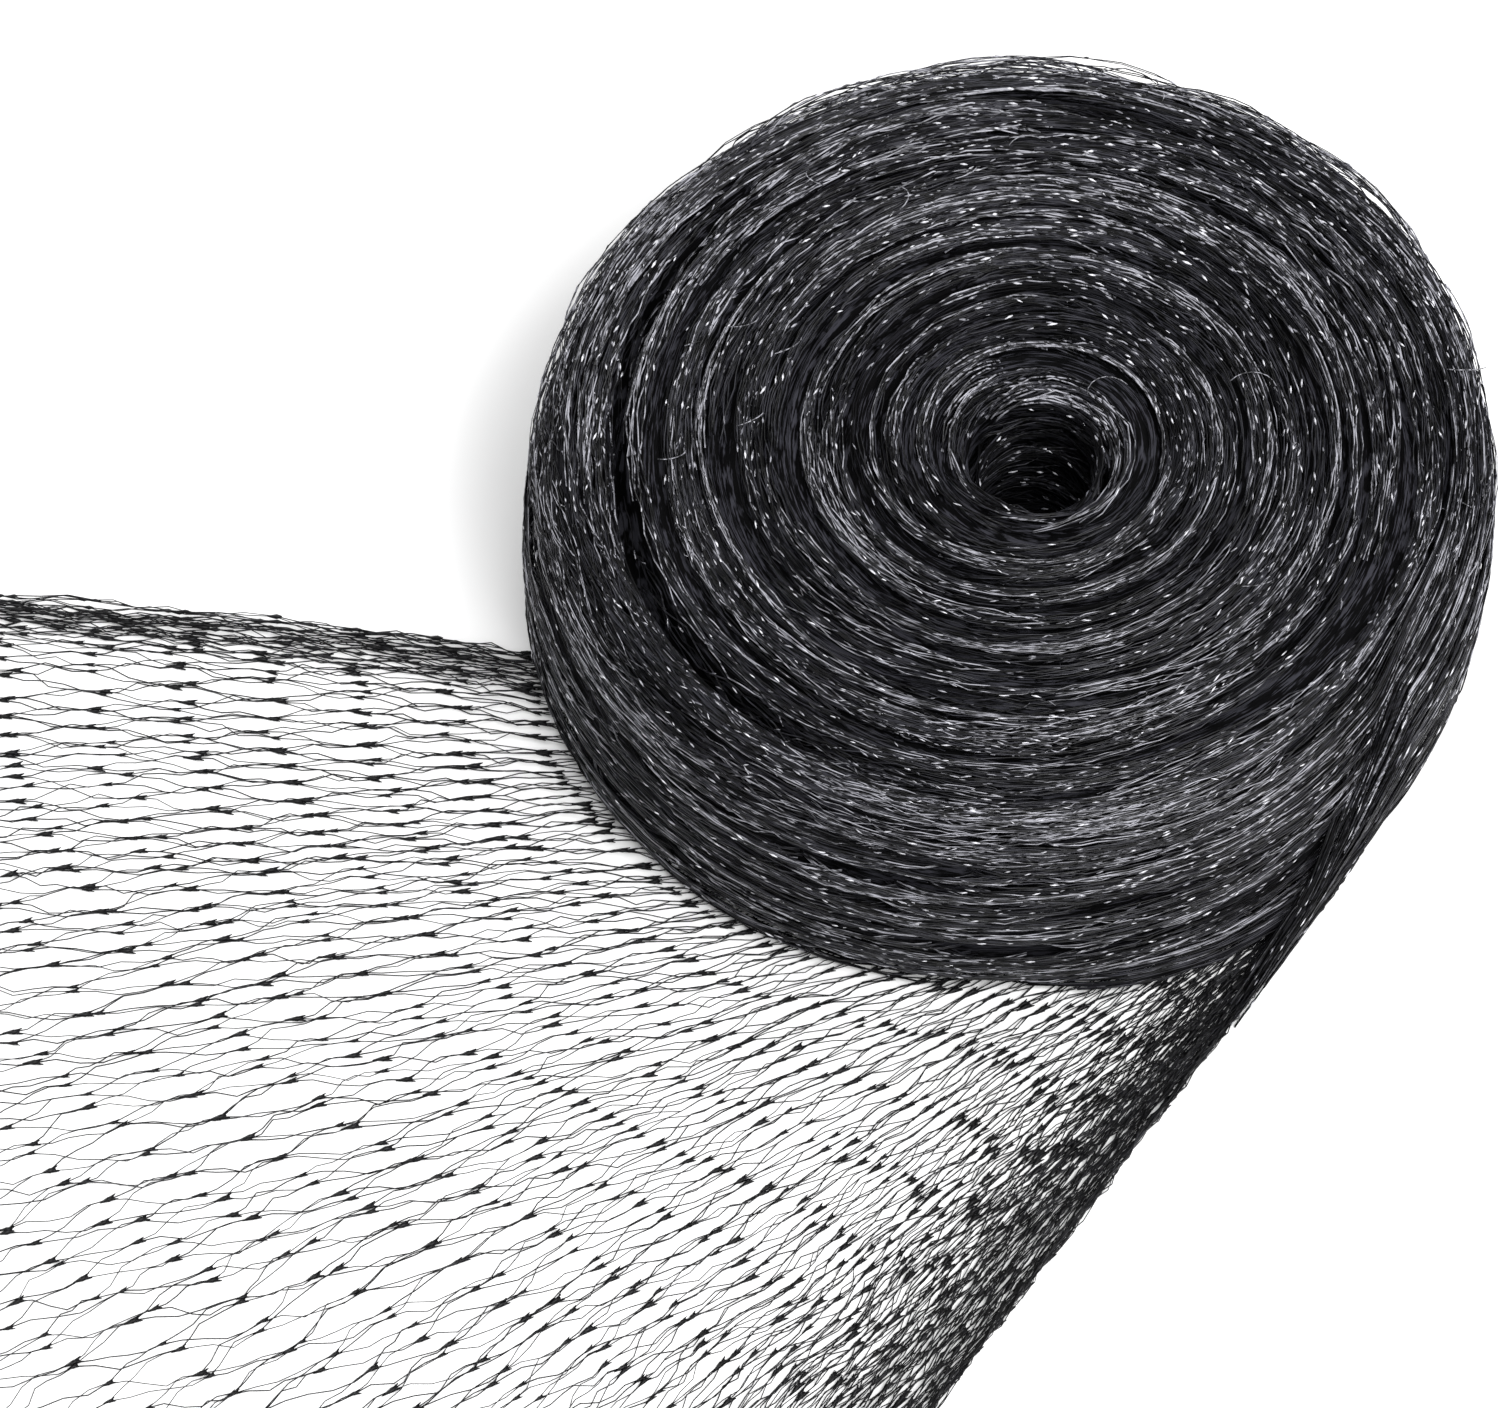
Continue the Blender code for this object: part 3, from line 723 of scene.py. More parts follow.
@dataclass
class Strands:
    """Strands on one part of the wound form: pairs of threads that meet in a knot at every mesh side."""

    winding: Winding
    twine: Twine
    knots: Twine
    skin: Skin
    seed: int
    step: float = 3.7  # between the points of a thread
    radius: tuple[float, float] = (0.15, 0.22)  # a thread's, at least and at most
    opening: tuple[float, float] = (0.25, 0.95)  # half the width of a closed mesh
    floor: float = 0.3  # no lower than this
    # Painted light: below 0, fewer pairs take the painted highlight and more the painted shade; past the second of
    # shades a pair takes the painted highlight.
    tone: float = 0.0  # below 0, fewer of them are pale
    shades: tuple[float, float] = (0.18, 0.78)  # up to the first a pair lies in shade, and past the second it is pale
    knot: tuple[float, float, float] = (0.12, 0.34, 0.1)  # a knot's radii along it, for a size of 1
    pick: random.Random = field(init=False)

    def __post_init__(self) -> None:
        """Starts the strands' own run of chances."""
        self.pick = random.Random(self.seed)

    def width(self, turn: float) -> tuple[float, float]:
        """The radius there, and how many millimetres a lane's whole width is.

        Args:
            turn: Turns from the inner end.

        Returns:
            The radius and the width, in millimetres.
        """
        if self.skin is not Skin.FACE:
            return LANES[self.skin]
        inner, outer = self.winding.groove(np.array([turn, turn + 1.0]))[0]
        return float(inner + outer) / 2, float(outer - inner)

    def lay(self, turn: np.ndarray, lane: np.ndarray, lift: np.ndarray) -> np.ndarray:
        """Points on this part of the form."""
        return getattr(self.winding, self.skin.value)(turn, lane, lift)

    def bundle(self, start: float, lane: float, length: float, breadth: float, lift: float) -> float:
        """Lays a bundle: pairs side by side, gathered at both ends, with the middle ones highest.

        Args:
            start: Turns from the inner end to where it begins.
            lane: Where it lies across the turn.
            length: How long it is, in millimetres.
            breadth: How broad it is.
            lift: How high its edges lie over the surface.

        Returns:
            The length of its pairs together.
        """
        pick = self.pick
        # How lit the bundle is painted, at random: higher gives more painted highlight, lower more painted shade.
        bright = pick.uniform(-0.25, 0.3) + self.tone
        bends = [(pick.uniform(0.2, 0.9), pick.uniform(14, 30), pick.uniform(*PHASES)) for _ in range(2)]
        laid = 0.0
        for _ in range(max(2, round(1.5 * breadth))):
            first = pick.uniform(0, 0.35) * length
            s = np.arange(first, length * pick.uniform(0.65, 1.0), self.step)
            if len(s) < 4:
                continue
            aside = pick.uniform(-0.5, 0.5)
            gathered = 0.3 + 0.7 * np.sin(math.pi * s / length) ** 0.7
            across = aside * breadth * gathered + sum(a * np.sin(s / b + c) for a, b, c in bends)
            rise = lift + 0.45 * breadth**0.5 * (1 - 4 * aside**2) * gathered + pick.uniform(0, 0.35)
            chance = pick.random() + bright
            deep, bright_from = self.shades
            look = Look.BRIGHT if chance > bright_from else Look.PLAIN if chance > deep else Look.DEEP
            self.pair(start, lane, s, across, rise, look)
            laid += float(s[-1] - s[0])
        return laid

    def pair(
        self, start: float, lane: float, s: np.ndarray, across: np.ndarray, lift: np.ndarray, look: Look
    ) -> None:
        """Lays two threads side by side, with the knots where they meet.

        Args:
            start: Turns from the inner end to where the distances begin.
            lane: Where the pair lies across the turn.
            s: Distances along the winding.
            across: How far it strays sideways at each, in millimetres.
            lift: How high it lies over the surface at each.
            look: Its finish.
        """
        pick = self.pick
        radius, width = self.width(start)
        turn = start + s / (2 * math.pi * radius)
        first = s[0] + pick.uniform(0, MESH_SIDE)
        dip = 1.8 * (1 - ramp(s, s[0], s[0] + 6) + ramp(s, s[-1] - 6, s[-1]))
        heave = lift + 0.2 * ripple(pick, s, 5, 12) - dip
        half = pick.uniform(*self.opening)
        for side in (-1, 1):
            crimp = 0.2 * ripple(pick, s, 0.9, 2.2)
            apart = across + side * half * np.sin(math.pi * (s - first) / MESH_SIDE) + crimp
            up = heave + 0.14 * ripple(pick, s, 1.2, 2.4)
            points = self.lay(turn, lane + apart / width, up)
            self.twine.add(no_lower(points, self.floor), pick.uniform(*self.radius), look)
        for at in np.arange(first, s[-1] - 4, MESH_SIDE):
            if at > s[0] + 4:
                self.tie(at, s, turn, lane + across / width, heave)

    def tie(self, at: float, s: np.ndarray, turn: np.ndarray, lane: np.ndarray, heave: np.ndarray) -> None:
        """Ties a knot at one place of a pair: a short lump that tapers to the threads.

        Args:
            at: Its distance along the winding.
            s: The pair's distances.
            turn: Its turns at each.
            lane: Where it lies across the turn at each.
            heave: How high it lies over the surface at each.
        """
        pick = self.pick
        size = pick.uniform(0.5, 1.0)
        spots = at + size * np.array([-1.1, 0.0, 1.1])
        lift = np.interp(spots, s, heave) + pick.uniform(0.05, 0.3)
        slant = pick.uniform(-0.35, 0.35) * np.array([-1.0, 0.0, 1.0]) / self.width(turn[0])[1]
        points = self.lay(np.interp(spots, s, turn), np.interp(spots, s, lane) + slant, lift)
        # Every knot on the roll is painted as a glint: the glint finish, or else the painted highlight.
        look = Look.KNOT if pick.random() < 0.55 else Look.BRIGHT
        self.knots.add(no_lower(points, self.floor + 0.2), size * np.array(self.knot), look)


@dataclass
class WoundNetting:
    """The wound part: its packed form, and the strands over its face, wall, hole and foot."""

    winding: Winding
    finishes: Sequence[bpy.types.Material]
    # The face's four parts: from which turn, to which turn, and metres of pairs.
    face_parts: tuple[tuple[float, float, float], ...] = (
        (0.0, 5.0, 18.0),
        (5.0, 8.0, 22.0),
        (8.0, 9.6, 18.5),
        (9.6, 11.0, 30.0),
    )
    wall_parts: int = 3
    wall_metres: float = 17.5  # of pairs, in each part
    stray_pairs: int = 230
    curls: int = 16
    hole_bundles: int = 56
    foot_bundles: int = 32
    leaving_pairs: int = 132
    wall_pairs: int = 75  # that many of them leave from the wall, and the others from the face
    edge_pairs: int = 12  # the last of them leave from the face's outer edge
    leaving_radius: tuple[float, float] = (0.15, 0.21)  # a thread's, at least and at most
    leaving_knot: tuple[float, float, float] = (0.14, 0.36, 0.12)  # a knot's radii along it
    staying_pairs: int = 46
    hem_threads: int = 64
    pieces: list[bpy.types.Object] = field(default_factory=list)

    def begin(
        self, place: str, skin: Skin, seed: int, number: str = "", **sizes: float | tuple[float, float]
    ) -> Strands:
        """Starts two pieces in the wound netting's finishes, of threads and of knots.

        Args:
            place: Where they lie, for their names.
            skin: The part of the form that they lie on.
            seed: What their run of chances starts from.
            number: What their names end in.
            sizes: The strands' own sizes, where they aren't the usual ones.

        Returns:
            The strands that fill them.
        """
        twine, knots = (Twine(f"{place}_{kind}{number}", self.finishes) for kind in ("strands", "knots"))
        return Strands(self.winding, twine, knots, skin, seed, **sizes)

    def keep(self, strands: Strands) -> None:
        """Makes the two pieces objects and keeps them."""
        self.pieces += [strands.twine.piece(), strands.knots.piece()]

    def over_face(self) -> None:
        """Lays bundles of strands along every turn of the upper face, in four pieces."""
        count = self.winding.count
        for part, (low, high, metres) in enumerate(self.face_parts):
            strands = self.begin("face", Skin.FACE, 100 + part, f"_{part + 1}")
            pick = strands.pick
            laid = 0.0
            while laid < metres * 1000:
                middle = pick.uniform(low, high) if part else high * pick.random() ** 0.62
                radius, width = strands.width(middle)
                half = pick.uniform(18, 70) * min(1.0, (middle + 2.5) / 6) / (2 * math.pi * radius)
                start, end = max(middle - half, 0.0), min(middle + half, count)
                length = (end - start) * 2 * math.pi * radius
                if length > 12:
                    breadth = min(pick.uniform(1.4, 4.5), width)
                    laid += strands.bundle(start, pick.random(), length, breadth, 0.3 * pick.random())
            self.keep(strands)

    def over_wall(self) -> None:
        """Lays strands round the side wall, in several pieces. They lie most thickly at the front."""
        for part in range(self.wall_parts):
            strands = self.begin("wall", Skin.WALL, 200 + part, f"_{part + 1}")
            pick = strands.pick
            laid, number = 0.0, 0
            while laid < self.wall_metres * 1000:
                number += 1
                middle = (0.7549 * number + 0.31 * part) % 1  # evenly spread, with no bare patch between them
                if pick.random() < 0.25:
                    middle *= 0.3
                half = pick.uniform(20, 80) / (2 * math.pi * WALL_RADIUS)
                start, end = max(middle - half, 0.0), min(middle + half, 1.0)
                length = (end - start) * 2 * math.pi * WALL_RADIUS
                if length > 12:
                    lane = (0.01 + 0.99 * ((0.5698 * number + 0.47 * part) % 1)) ** 0.85
                    laid += strands.bundle(start, lane, length, pick.uniform(1.6, 5.0), 0.3 * pick.random())
            self.keep(strands)

    def strays(self) -> None:
        """Lays the strands that stand off the rim, and a few curls over the face."""
        strands = self.begin("stray", Skin.WALL, 250, radius=(0.1, 0.16))
        pick = strands.pick
        for k in range(self.stray_pairs):
            start = pick.uniform(0.4, 0.75) if k % 3 == 0 else pick.uniform(0.02, 0.88)
            s = np.arange(0, pick.uniform(25, 75), strands.step)
            behind = max(0.0, 1 - abs(start + 0.04 - 0.66) / 0.3)
            lift = pick.uniform(0.5, 3.0 + 4.0 * behind) * np.sin(math.pi * s / (s[-1] + 1)) ** 0.6
            across = pick.uniform(0.5, 2.0) * ripple(pick, s, 7, 18)
            # Stray pairs take the plain twine or the painted highlight.
            strands.pair(start, pick.uniform(0.86, 1.0), s, across, lift, pick.choice((Look.PLAIN, Look.BRIGHT)))
        for _ in range(self.curls):
            turn = self.winding.count * pick.random() ** 0.6
            spot = self.winding.face(np.array([turn]), np.array([pick.random()]), np.array([1.0]))[0]
            size, begin = pick.uniform(2.5, 7.0), pick.uniform(*PHASES)
            angle = np.linspace(begin, begin + pick.uniform(1.2, 2.6), 8)
            rise = pick.uniform(0.6, 2.2) * np.sin((angle - angle[0]) / (angle[-1] - angle[0]) * math.pi)
            curl = np.stack([size * np.cos(angle), 0.7 * size * np.sin(angle), rise], axis=-1)
            # The curls all take the painted highlight.
            strands.twine.add(spot + curl - [*curl[4, :2], 0.0], 0.13, Look.BRIGHT)
        self.keep(strands)

    def in_hole(self) -> None:
        """Lays strands round the hole's wall."""
        # The hole's strands take more painted shade and less painted highlight.
        strands = self.begin("hole", Skin.HOLE, 300, step=2.4, opening=(0.3, 1.2), tone=-0.35)
        pick = strands.pick
        for _ in range(self.hole_bundles):
            lane = 1 - 0.98 * pick.random() ** 1.2
            strands.bundle(pick.uniform(0, 0.9), lane, pick.uniform(20, 60), pick.uniform(1.5, 4.0), 0.3)
        self.keep(strands)

    def under_foot(self) -> None:
        """Lays strands over the foot, behind the loose end that passes below it."""
        strands = self.begin("foot", Skin.FOOT, 400, step=6.0, radius=(0.25, 0.4), floor=0.45)
        pick = strands.pick
        for _ in range(self.foot_bundles):
            start = pick.uniform(0.30, 0.80)
            length = min(pick.uniform(60, 170), (0.93 - start) * 2 * math.pi * 60)
            strands.bundle(start, pick.random(), length, pick.uniform(2.0, 5.0), 0.1)
        self.keep(strands)

    def leaving(self) -> None:
        """Lays the strands that leave the roll: from its face or wall straight on, and down to the floor."""
        strands = self.begin("leaving", Skin.WALL, 550)
        pick = random.Random(500)
        edge = self.leaving_pairs - self.edge_pairs
        for k in range(self.leaving_pairs):
            rolled_up = k % 2 == 0 or k >= edge
            if rolled_up:
                s = np.arange(-pick.uniform(40, 100), pick.uniform(6, 24), 3.7)
            else:
                s = np.arange(-pick.uniform(6, 30), pick.uniform(30, 72), 3.7)
            wander = 0.012 * ripple(pick, s, 9, 20)
            lift = pick.uniform(0.1, 0.9) - 1.6 * (1 - ramp(s, s[0], s[0] + 9))
            back = np.minimum(s, 0) / (2 * math.pi * WALL_RADIUS)
            if k < self.wall_pairs:
                share = pick.uniform(0.02, 1.0) ** 0.8
                rolled = self.winding.wall(1.0 + back, share * 0.99 + wander, lift)
            else:
                share = pick.uniform(0.05 if k < edge else 0.75, 1.0)
                rolled = self.winding.face(self.winding.count + back - 0.0005, share + 3 * wander, lift)
            # Pairs that come down to the floor mostly take the painted shade; the ones still rolled up take the usual
            # mix.
            looks = MIXED if rolled_up else (Look.DEEP, Look.DEEP, Look.PLAIN)
            self.come_down(strands, pick, s, rolled, pick.choice(looks))
        self.hem(strands.twine, pick)
        self.staying(strands)
        self.keep(strands)

    def staying(self, strands: Strands) -> None:
        """Lays the strands that cross from the last wrap's end to the wall behind it, and stay on the roll.

        Args:
            strands: What they are part of.
        """
        pick, w = strands.pick, self.winding
        rows, heights = (*w.barrel_lanes[-3:], 1.0), (*w.barrel_height[-3:], w.shoulder_height)
        forward = np.array([math.cos(math.radians(LEAVES_TOWARDS)), math.sin(math.radians(LEAVES_TOWARDS)), 0.0])
        for _ in range(self.staying_pairs):
            s = np.arange(-pick.uniform(12, 60), pick.uniform(12, 50), 3.0)
            around = s / (2 * math.pi * 96)
            lift, lane = np.full(len(s), pick.uniform(0.3, 1.4)), pick.random() ** 1.5 * 0.6
            before = w.face(w.count - 0.0005 + np.minimum(around, 0), lane, lift)
            behind = np.interp(before[-1, 2] - lift[0], heights, rows)
            after = w.wall(np.maximum(around, 0), behind + 0 * s, lift)
            before += np.maximum(s, 0)[:, None] * forward
            after += np.minimum(s, 0)[:, None] * forward
            points = before + ramp(s, -14, 12)[:, None] * (after - before)
            look = pick.choice(MIXED)
            for side in (-0.35, 0.35):
                apart = side * ripple(pick, s, 4, 7)
                aside = apart[:, None] * np.array([0.5, 0.3, 0.8])
                strands.twine.add(points + aside, pick.uniform(*self.leaving_radius), look)

    def hem(self, twine: Twine, pick: random.Random) -> None:
        """Lays the last wrap's lower rim, which has come off the wall towards the band that leaves.

        Args:
            twine: The piece that it is part of.
            pick: The run of chances.
        """
        rounds = (-88.0, -76.0, -64.0, -52.0, -43.0, -38.0)  # degrees from +X
        radii = (100.0, 103.6, 104.6, 104.2, 103.0, 101.4)
        heights = (2.0, 3.2, 4.4, 6.5, 10.0, 13.0)
        for _ in range(self.hem_threads):
            aside = pick.uniform(-7.0, 1.3)
            over = pick.uniform(-1.0, 1.0) - 0.5 * min(aside, 0)
            angle = np.radians(np.linspace(-86 + pick.uniform(-4, 8), -39, 13))
            wave = 0.3 * np.sin(angle * pick.uniform(20, 50) + pick.uniform(*PHASES))
            radius = np.interp(np.degrees(angle), rounds, radii) + aside + wave
            height = np.interp(np.degrees(angle), rounds, heights) + over + 0.5 * wave
            points = np.stack([ROLL_AXIS[0] + radius * np.cos(angle), ROLL_AXIS[1] + radius * np.sin(angle)], axis=-1)
            look = pick.choice(MIXED)
            twine.add(np.column_stack([points, np.maximum(height, 1.8)]), pick.uniform(0.14, 0.2), look)

    def come_down(
        self, strands: Strands, pick: random.Random, s: np.ndarray, rolled: np.ndarray, look: Look
    ) -> None:
        """Leads a pair of threads off the roll.

        Args:
            strands: What the pair is part of.
            pick: The run of chances.
            s: Distances along the winding, counted from where it leaves the roll.
            rolled: The pair's points on the roll. Past that place they all stay there.
            look: Its finish.
        """
        forward = math.radians(LEAVES_TOWARDS)
        ahead = np.maximum(s, 0)
        lower = np.interp(ahead, TAIL_ALONG, TAIL_HEIGHT) / TAIL_HEIGHT[0]
        height = rolled[:, 2] * lower
        x = rolled[:, 0] - self.winding.lean * (rolled[:, 2] - height) / 62.0
        inside = (x[-1] - TIP[0]) * math.sin(forward) + (TIP[1] - rolled[-1, 1]) * math.cos(forward)
        inwards = (pick.uniform(0, 4.0) - inside) * ramp(s, -5, 40)
        middle = np.stack(
            [
                x + ahead * math.cos(forward) + inwards * math.sin(forward),
                rolled[:, 1] + ahead * math.sin(forward) - inwards * math.cos(forward),
                height,
            ],
            axis=-1,
        )
        first = pick.uniform(0, MESH_SIDE)
        half = pick.uniform(0.3, 1.2)
        for side in (-1, 1):
            points = middle.copy()
            crimp = 0.15 * ripple(pick, s, 0.9, 1.6)
            points[:, 2] += side * half * np.sin(math.pi * (s - first) / MESH_SIDE) * lower**0.5 + crimp
            strands.twine.add(no_lower(points, 0.25), pick.uniform(*self.leaving_radius), look)
        for at in np.arange(s[0] + first, s[-1], MESH_SIDE):
            spots = at + np.array([-1.3, 0.0, 1.3])
            lump = no_lower(np.stack([np.interp(spots, s, column) for column in middle.T], axis=-1), 0.5)
            # Three knots in four take the painted glint, the others the plain twine.
            strands.knots.add(lump, np.array(self.leaving_knot), Look.KNOT if pick.random() < 0.75 else Look.PLAIN)

    def build(self) -> list[bpy.types.Object]:
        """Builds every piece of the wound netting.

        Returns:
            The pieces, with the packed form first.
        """
        form = PackedForm(self.winding).build()
        self.over_face()
        self.over_wall()
        self.strays()
        self.in_hole()
        self.under_foot()
        self.leaving()
        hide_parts("net_roll")
        self.pieces.insert(0, form)
        for piece in self.pieces:
            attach(piece, "root")
        return self.pieces


# The loose netting


@dataclass
class LooseNetting:
    """The loose end: a real net of threads and knots that fans out from where it leaves the roll."""

    finishes: Sequence[bpy.types.Material]
    # How far apart neighbouring lines of knots are, in degrees, over their direction from the tip.
    directions: tuple[float, ...] = (167.3, 169.8, 171.2, 182.0, 195.0, 212.0, 220.0, 227.0, 231.4, 236.9)
    spacings: tuple[float, ...] = (0.14, 0.21, 0.5, 0.55, 0.8, 0.8, 0.6, 0.34, 0.2, 0.15)
    bend: tuple[float, float] = (190.0, 0.0185)  # past 190 mm the left edge bends forwards, degrees per mm
    # The left edge is gathered: by what share, from what distance, over what distance, and within how many degrees.
    gather: tuple[float, float, float, float] = (0.5, 150.0, 170.0, 5.0)
    # How much further on each line's knots lie than the last line's, over their direction.
    slip_directions: tuple[float, ...] = (170.0, 184.0, 200.0, 215.0, 228.0)
    slips: tuple[float, ...] = (-1.0, -3.0, -4.6, -2.0, 1.0)
    first_row: float = 12.0  # from the tip
    reach: float = 352.8  # from the tip to the cut edge
    radius: float = 0.132  # a thread's
    drift: float = 3.5  # how far the knots stray together
    patch: float = 30.0  # over what distance they do
    shortest: float = 4.0  # a shorter thread is left out
    bare: float = 40.0  # no knots so near the tip
    under_roll: float = 90.0  # nearer the roll's axis the net is hidden and made plainer
    clear_of_roll: float = 106.0  # further from it the net can pile up
    pile: float = 3.0  # how high it does in the bunched edges
    pick: random.Random = field(default_factory=lambda: random.Random(7))

    def lines(self) -> list[float]:
        """The directions of one layer's lines of knots, which are twice as far apart as those of both together.

        Returns:
            The directions in degrees, from the left edge to the right one.
        """
        found = [self.directions[0]]
        while found[-1] < self.directions[-1]:
            step = float(np.interp(found[-1], self.directions, self.spacings))
            found.append(found[-1] + 2 * step * self.pick.uniform(0.8, 1.2))
        return found

    def floor_point(self, direction: float, along: float) -> tuple[float, float]:
        """A place on the floor, by direction and distance from the tip.

        Args:
            direction: In degrees from +X, as it starts from the tip.
            along: The distance, in millimetres.

        Returns:
            Its x and y.
        """
        start, bend = self.bend
        inside = direction - self.directions[0]
        most, begin, over, within = self.gather
        gathered = most * min(1.0, max(0.0, along - begin) / over) * max(0.0, 1 - (inside / within) ** 2)
        fade = max(0.0, 1 - inside / 25)
        angle = math.radians(direction - inside * gathered + bend * max(0.0, along - start) * fade)
        return TIP[0] + along * math.cos(angle), TIP[1] + along * math.sin(angle)

    def height(self, direction: float, along: float) -> float:
        """How high a knot lies: low in the open part, piled up in the bunched edges.

        Args:
            direction: Its direction from the tip, in degrees.
            along: Its distance from the tip.

        Returns:
            Its height over the floor.
        """
        left = max(0.0, 1 - (direction - self.directions[0]) / 3.2)
        right = max(0.0, 1 - (self.directions[-1] - direction) / 7.0)
        x, y = self.floor_point(direction, along)
        away = math.hypot(x - ROLL_AXIS[0], y - ROLL_AXIS[1]) - self.clear_of_roll
        free = min(1.0, max(0.0, away / 12))
        pile = free * self.pile * max(left, right) * self.pick.random()
        if self.directions[-1] - direction < 2.5:
            pile = max(pile, 0.7 * self.pick.random() * float(np.interp(along, TAIL_ALONG, TAIL_HEIGHT)) - 3.0)
        return 0.35 + 0.5 * self.pick.random() + pile

    def lay_out(self, layer: int) -> dict[tuple[int, int], np.ndarray]:
        """Places the knots of one layer: the loose end lies double.

        Args:
            layer: Which of the two layers, 0 or 1.

        Returns:
            The knots' places by line and row. Odd rows lie half a mesh further on.
        """
        pick = self.pick
        found = {}
        slip = 7.0 * layer
        for line, direction in enumerate(self.lines()):
            step = 2 * float(np.interp(direction, self.directions, self.spacings))
            edge = min(direction - self.directions[0], self.directions[-1] - direction)
            right = self.directions[-1] - direction
            loose = np.interp(right, (3.0, 9.0, 16.0), (8.0, 7.0, 1.0))
            loose = max(np.interp(edge, (3.0, 8.0), (5.0, 1.0)), loose)
            slip += float(np.interp(direction, self.slip_directions, self.slips))
            slip += pick.uniform(-loose, loose)
            low = math.ceil((self.first_row - slip) / MESH_SIDE)
            high = math.floor((self.reach - slip) / MESH_SIDE)
            for row in range(low, high + 1):
                at = slip + MESH_SIDE * row + pick.uniform(-1.1, 1.1)
                turned = direction + step * (0.5 * (row % 2) + pick.uniform(-0.13, 0.13))
                most = self.directions[-1] - math.degrees(1.5 / at) - 0.2 * pick.random()
                turned = min(max(turned, self.directions[0]), most)
                x, y = self.floor_point(turned, at)
                free = np.interp(edge, (1.5, 8.0), (0.0, 1.0)) * np.interp(at, (30, 120), (0, 1))
                strength = self.drift * float(free)
                spot = x / self.patch, y / self.patch
                moved = [strength * noise.noise(Vector((*spot, 3.0 * layer + k))) for k in (0.4, 7.9)]
                found[line, row] = np.array([x + moved[0], y + moved[1], self.height(direction, at)])
        return found

    def build(self) -> list[bpy.types.Object]:
        """Builds the threads and the knots.

        Returns:
            The two pieces.
        """
        threads, knots = Twine("loose_netting", self.finishes), Twine("loose_knots", self.finishes)
        area = 0.0
        for layer in range(2):
            spots = self.lay_out(layer)
            for (line, row), spot in spots.items():
                beside = line + 1 if row % 2 else line - 1
                goals = [spots[key] for key in ((line, row + 1), (beside, row + 1)) if key in spots]
                if not goals:
                    continue
                middle = sum(goals) / len(goals) - spot
                middle = middle / np.linalg.norm(middle)
                together = self.pick.uniform(1.0, 7.0)
                for goal in goals:
                    if np.linalg.norm(goal - spot) > self.shortest:
                        area += self.bar(threads, spot, goal, middle, together)
                if math.hypot(*spot[:2] - TIP) > self.bare:
                    self.knot(knots, spot, middle, together)
        net, lumps = threads.piece(), knots.piece()
        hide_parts("loose_net")
        for piece in (net, lumps):
            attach(piece, "root")
        return [net, lumps]

    def bar(self, threads: Twine, spot: np.ndarray, goal: np.ndarray, middle: np.ndarray, together: float) -> float:
        """Runs one thread from a knot to the next.

        Args:
            threads: The piece that it is part of.
            spot: The knot that it leaves.
            goal: The knot that it goes to.
            middle: The direction in which it leaves.
            together: How far it runs beside its neighbour before they part.

        Returns:
            Half the thread's surface, in square millimetres.
        """
        pick = self.pick
        span = float(np.linalg.norm(goal - spot))
        hidden = math.hypot(*spot[:2] - ROLL_AXIS) < self.under_roll
        share = np.linspace(0, 1, 3 if hidden else 6 if spot[2] < 2.0 else 4)  # fewer points where it shows less
        straight = spot + share[:, None] * (goal - spot)
        beside = spot + middle * (share[:, None] * span)
        part = ramp(share, 0.75 * together / MESH_SIDE, 0.95)[:, None]
        points = (1 - part) * beside + part * straight
        aside = np.array([-middle[1], middle[0], 0.0])
        wave = 1.1 * np.sin(2 * math.pi * share * pick.uniform(0.8, 1.8) + pick.uniform(*PHASES))
        points += aside * (wave * np.sin(math.pi * share) * min(1.0, pick.uniform(0.3, 1.5)))[:, None]
        points += aside * pick.uniform(-0.15, 0.15)
        points[:, 2] += 0.25 * np.sin(math.pi * share) * pick.uniform(-1, 1.4)
        look = pick.choice(MIXED)
        radius = self.radius * pick.uniform(0.85, 1.25)
        threads.add(no_lower(points, 0.15), radius, look)
        around = 2 * threads.sides * math.sin(math.pi / threads.sides) * radius
        return around / 2 * float(np.linalg.norm(np.diff(points, axis=0), axis=1).sum())

    def knot(self, knots: Twine, spot: np.ndarray, middle: np.ndarray, together: float) -> None:
        """Ties a knot: a lump with two ears towards the roll and a tail away from it.

        Args:
            knots: The piece that it is part of.
            spot: Where it is.
            middle: The direction in which its threads leave.
            together: How far they run side by side.
        """
        size = self.pick.choice((0.85, 0.95, 1.05, 1.25))
        tail = 1.2 + 0.15 * together
        along = np.array([-1.1, -0.1, tail])[:, None] * middle * size
        self.add_lump(knots, spot + along, size * np.array([0.2, 0.54, 0.1]))
        if spot[2] > 1.2 or math.hypot(*spot[:2] - ROLL_AXIS) < self.under_roll:
            return
        aside = np.array([-middle[1], middle[0], 0.0])
        for side in (-1, 1):
            ear = np.array([0.2, -1.6])[:, None] * middle + np.array([0.0, 0.6])[:, None] * aside * side
            self.add_lump(knots, spot + ear * size, size * np.array([0.4, 0.1]))

    @staticmethod
    def add_lump(knots: Twine, points: np.ndarray, radius: np.ndarray) -> None:
        """Adds one lump of a knot, no lower than the floor."""
        knots.add(no_lower(points, radius.max()), radius, Look.KNOT)


# The studio


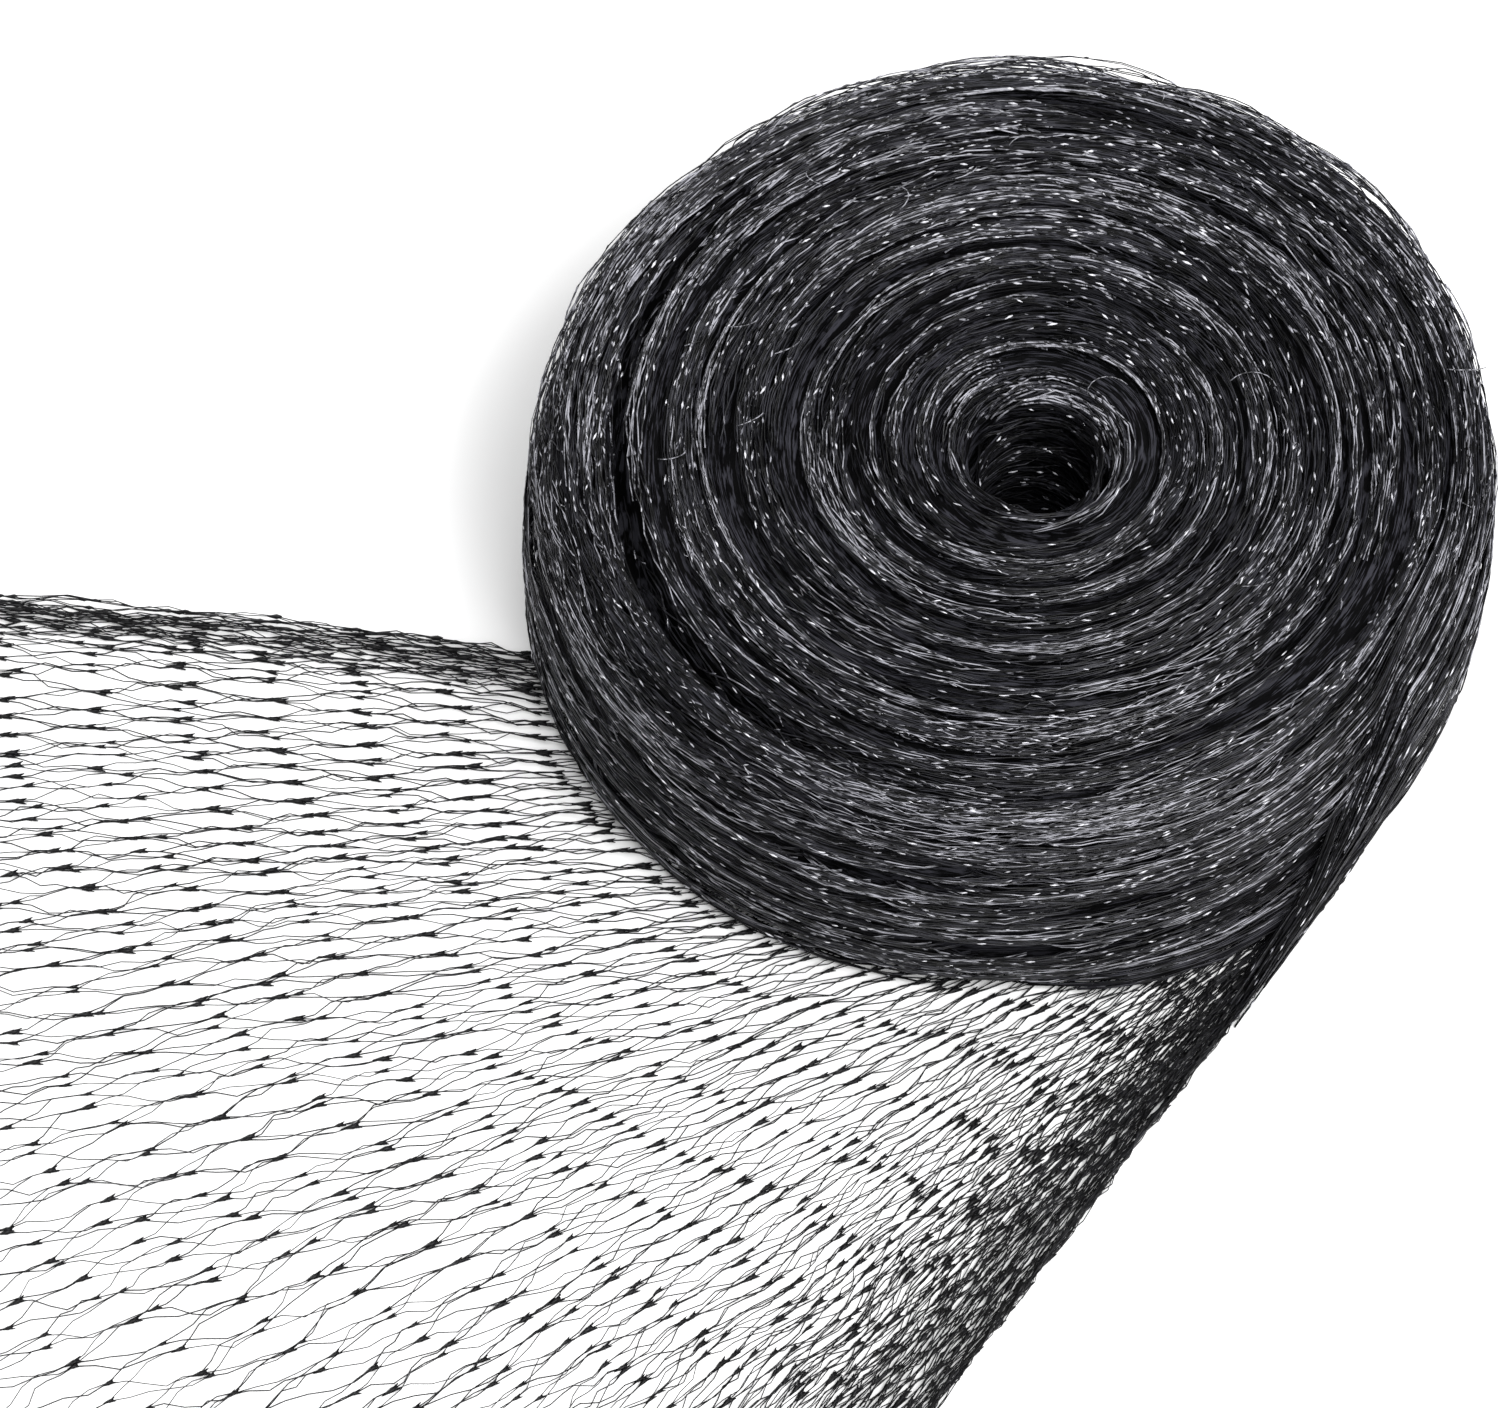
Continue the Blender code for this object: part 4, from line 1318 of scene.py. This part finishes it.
@dataclass(frozen=True)
class Studio:
    """The plain floor, the soft lights and the camera, which looks as the photograph does."""

    aim: tuple[float, float] = (25.29, 97.31)  # what is in the middle of the picture
    elevation: float = 55.5
    away: float = 4500.0  # a long lens, far off
    across: float = 326.0  # the picture's width at the aim

    def floor(self) -> None:
        """Lays the plain white floor."""
        bm = bmesh.new()
        bmesh.ops.create_grid(bm, x_segments=1, y_segments=1, size=8.0)
        mesh = bpy.data.meshes.new("floor")
        bm.to_mesh(mesh)
        bm.free()
        made, shader = start_material("studio_paper")
        shader.inputs["Base Color"].default_value = linear("#f7f7f7")
        shader.inputs["Roughness"].default_value = 0.9
        shader.inputs["Specular IOR Level"].default_value = 0.0
        mesh.materials.append(made)
        floor = add_object("floor", mesh)

    def lights(self) -> None:
        """Lights the scene with a bright room and two large soft boxes."""
        scene = bpy.context.scene
        scene.world = bpy.data.worlds.new("bright_room")
        scene.world.use_nodes = True
        back = scene.world.node_tree.nodes["Background"]
        back.inputs["Color"].default_value = linear("#ffffff")
        back.inputs["Strength"].default_value = 0.7
        for name, place, size, power in (
            ("key_box", (0.8, -0.8, 1.6), 1.4, 56.0),
            ("back_box", (-0.7, 1.1, 1.3), 0.8, 9.0),
        ):
            light = bpy.data.lights.new(name, "AREA")
            light.shape = "SQUARE"
            light.size = size
            light.energy = power
            lamp = add_object(name, light)
            lamp.location = Vector(place)
            lamp.rotation_euler = (Vector((0.08, 0.12, 0)) - lamp.location).to_track_quat("-Z", "Y").to_euler()

    def camera(self) -> None:
        """Sets the camera up, looking along +Y and down."""
        lens = bpy.data.cameras.new("camera")
        lens.sensor_width = 36.0
        lens.lens = 36.0 * self.away / self.across
        lens.clip_end = 50.0
        camera = add_object("camera", lens)
        tilt = math.radians(self.elevation)
        back = Vector((0.0, -math.cos(tilt), math.sin(tilt)))
        camera.location = Vector((*self.aim, 0.0)) * MM + back * self.away * MM
        camera.rotation_euler = (-back).to_track_quat("-Z", "Y").to_euler()
        bpy.context.scene.camera = camera
        bpy.context.scene.view_settings.view_transform = "Standard"

    def build(self) -> None:
        """Sets everything up."""
        self.floor()
        self.lights()
        self.camera()


def report(pieces: Sequence[bpy.types.Object]) -> None:
    """Logs how many triangles each piece has.

    Args:
        pieces: The pieces of one sub-assembly.
    """
    for piece in pieces:
        triangles = sum(len(face.vertices) - 2 for face in piece.data.polygons)
        log.info("%s: %d triangles", piece.name, triangles)


def main() -> None:
    """Builds the studio, the wound netting and the loose netting."""
    logging.basicConfig(level=logging.INFO, format="%(message)s")
    Studio().build()
    report(WoundNetting(Winding(), [finish.material() for finish in WOUND_FINISHES]).build())
    report(LooseNetting([finish.material() for finish in LOOSE_FINISHES]).build())


if __name__ == "__main__":
    main()
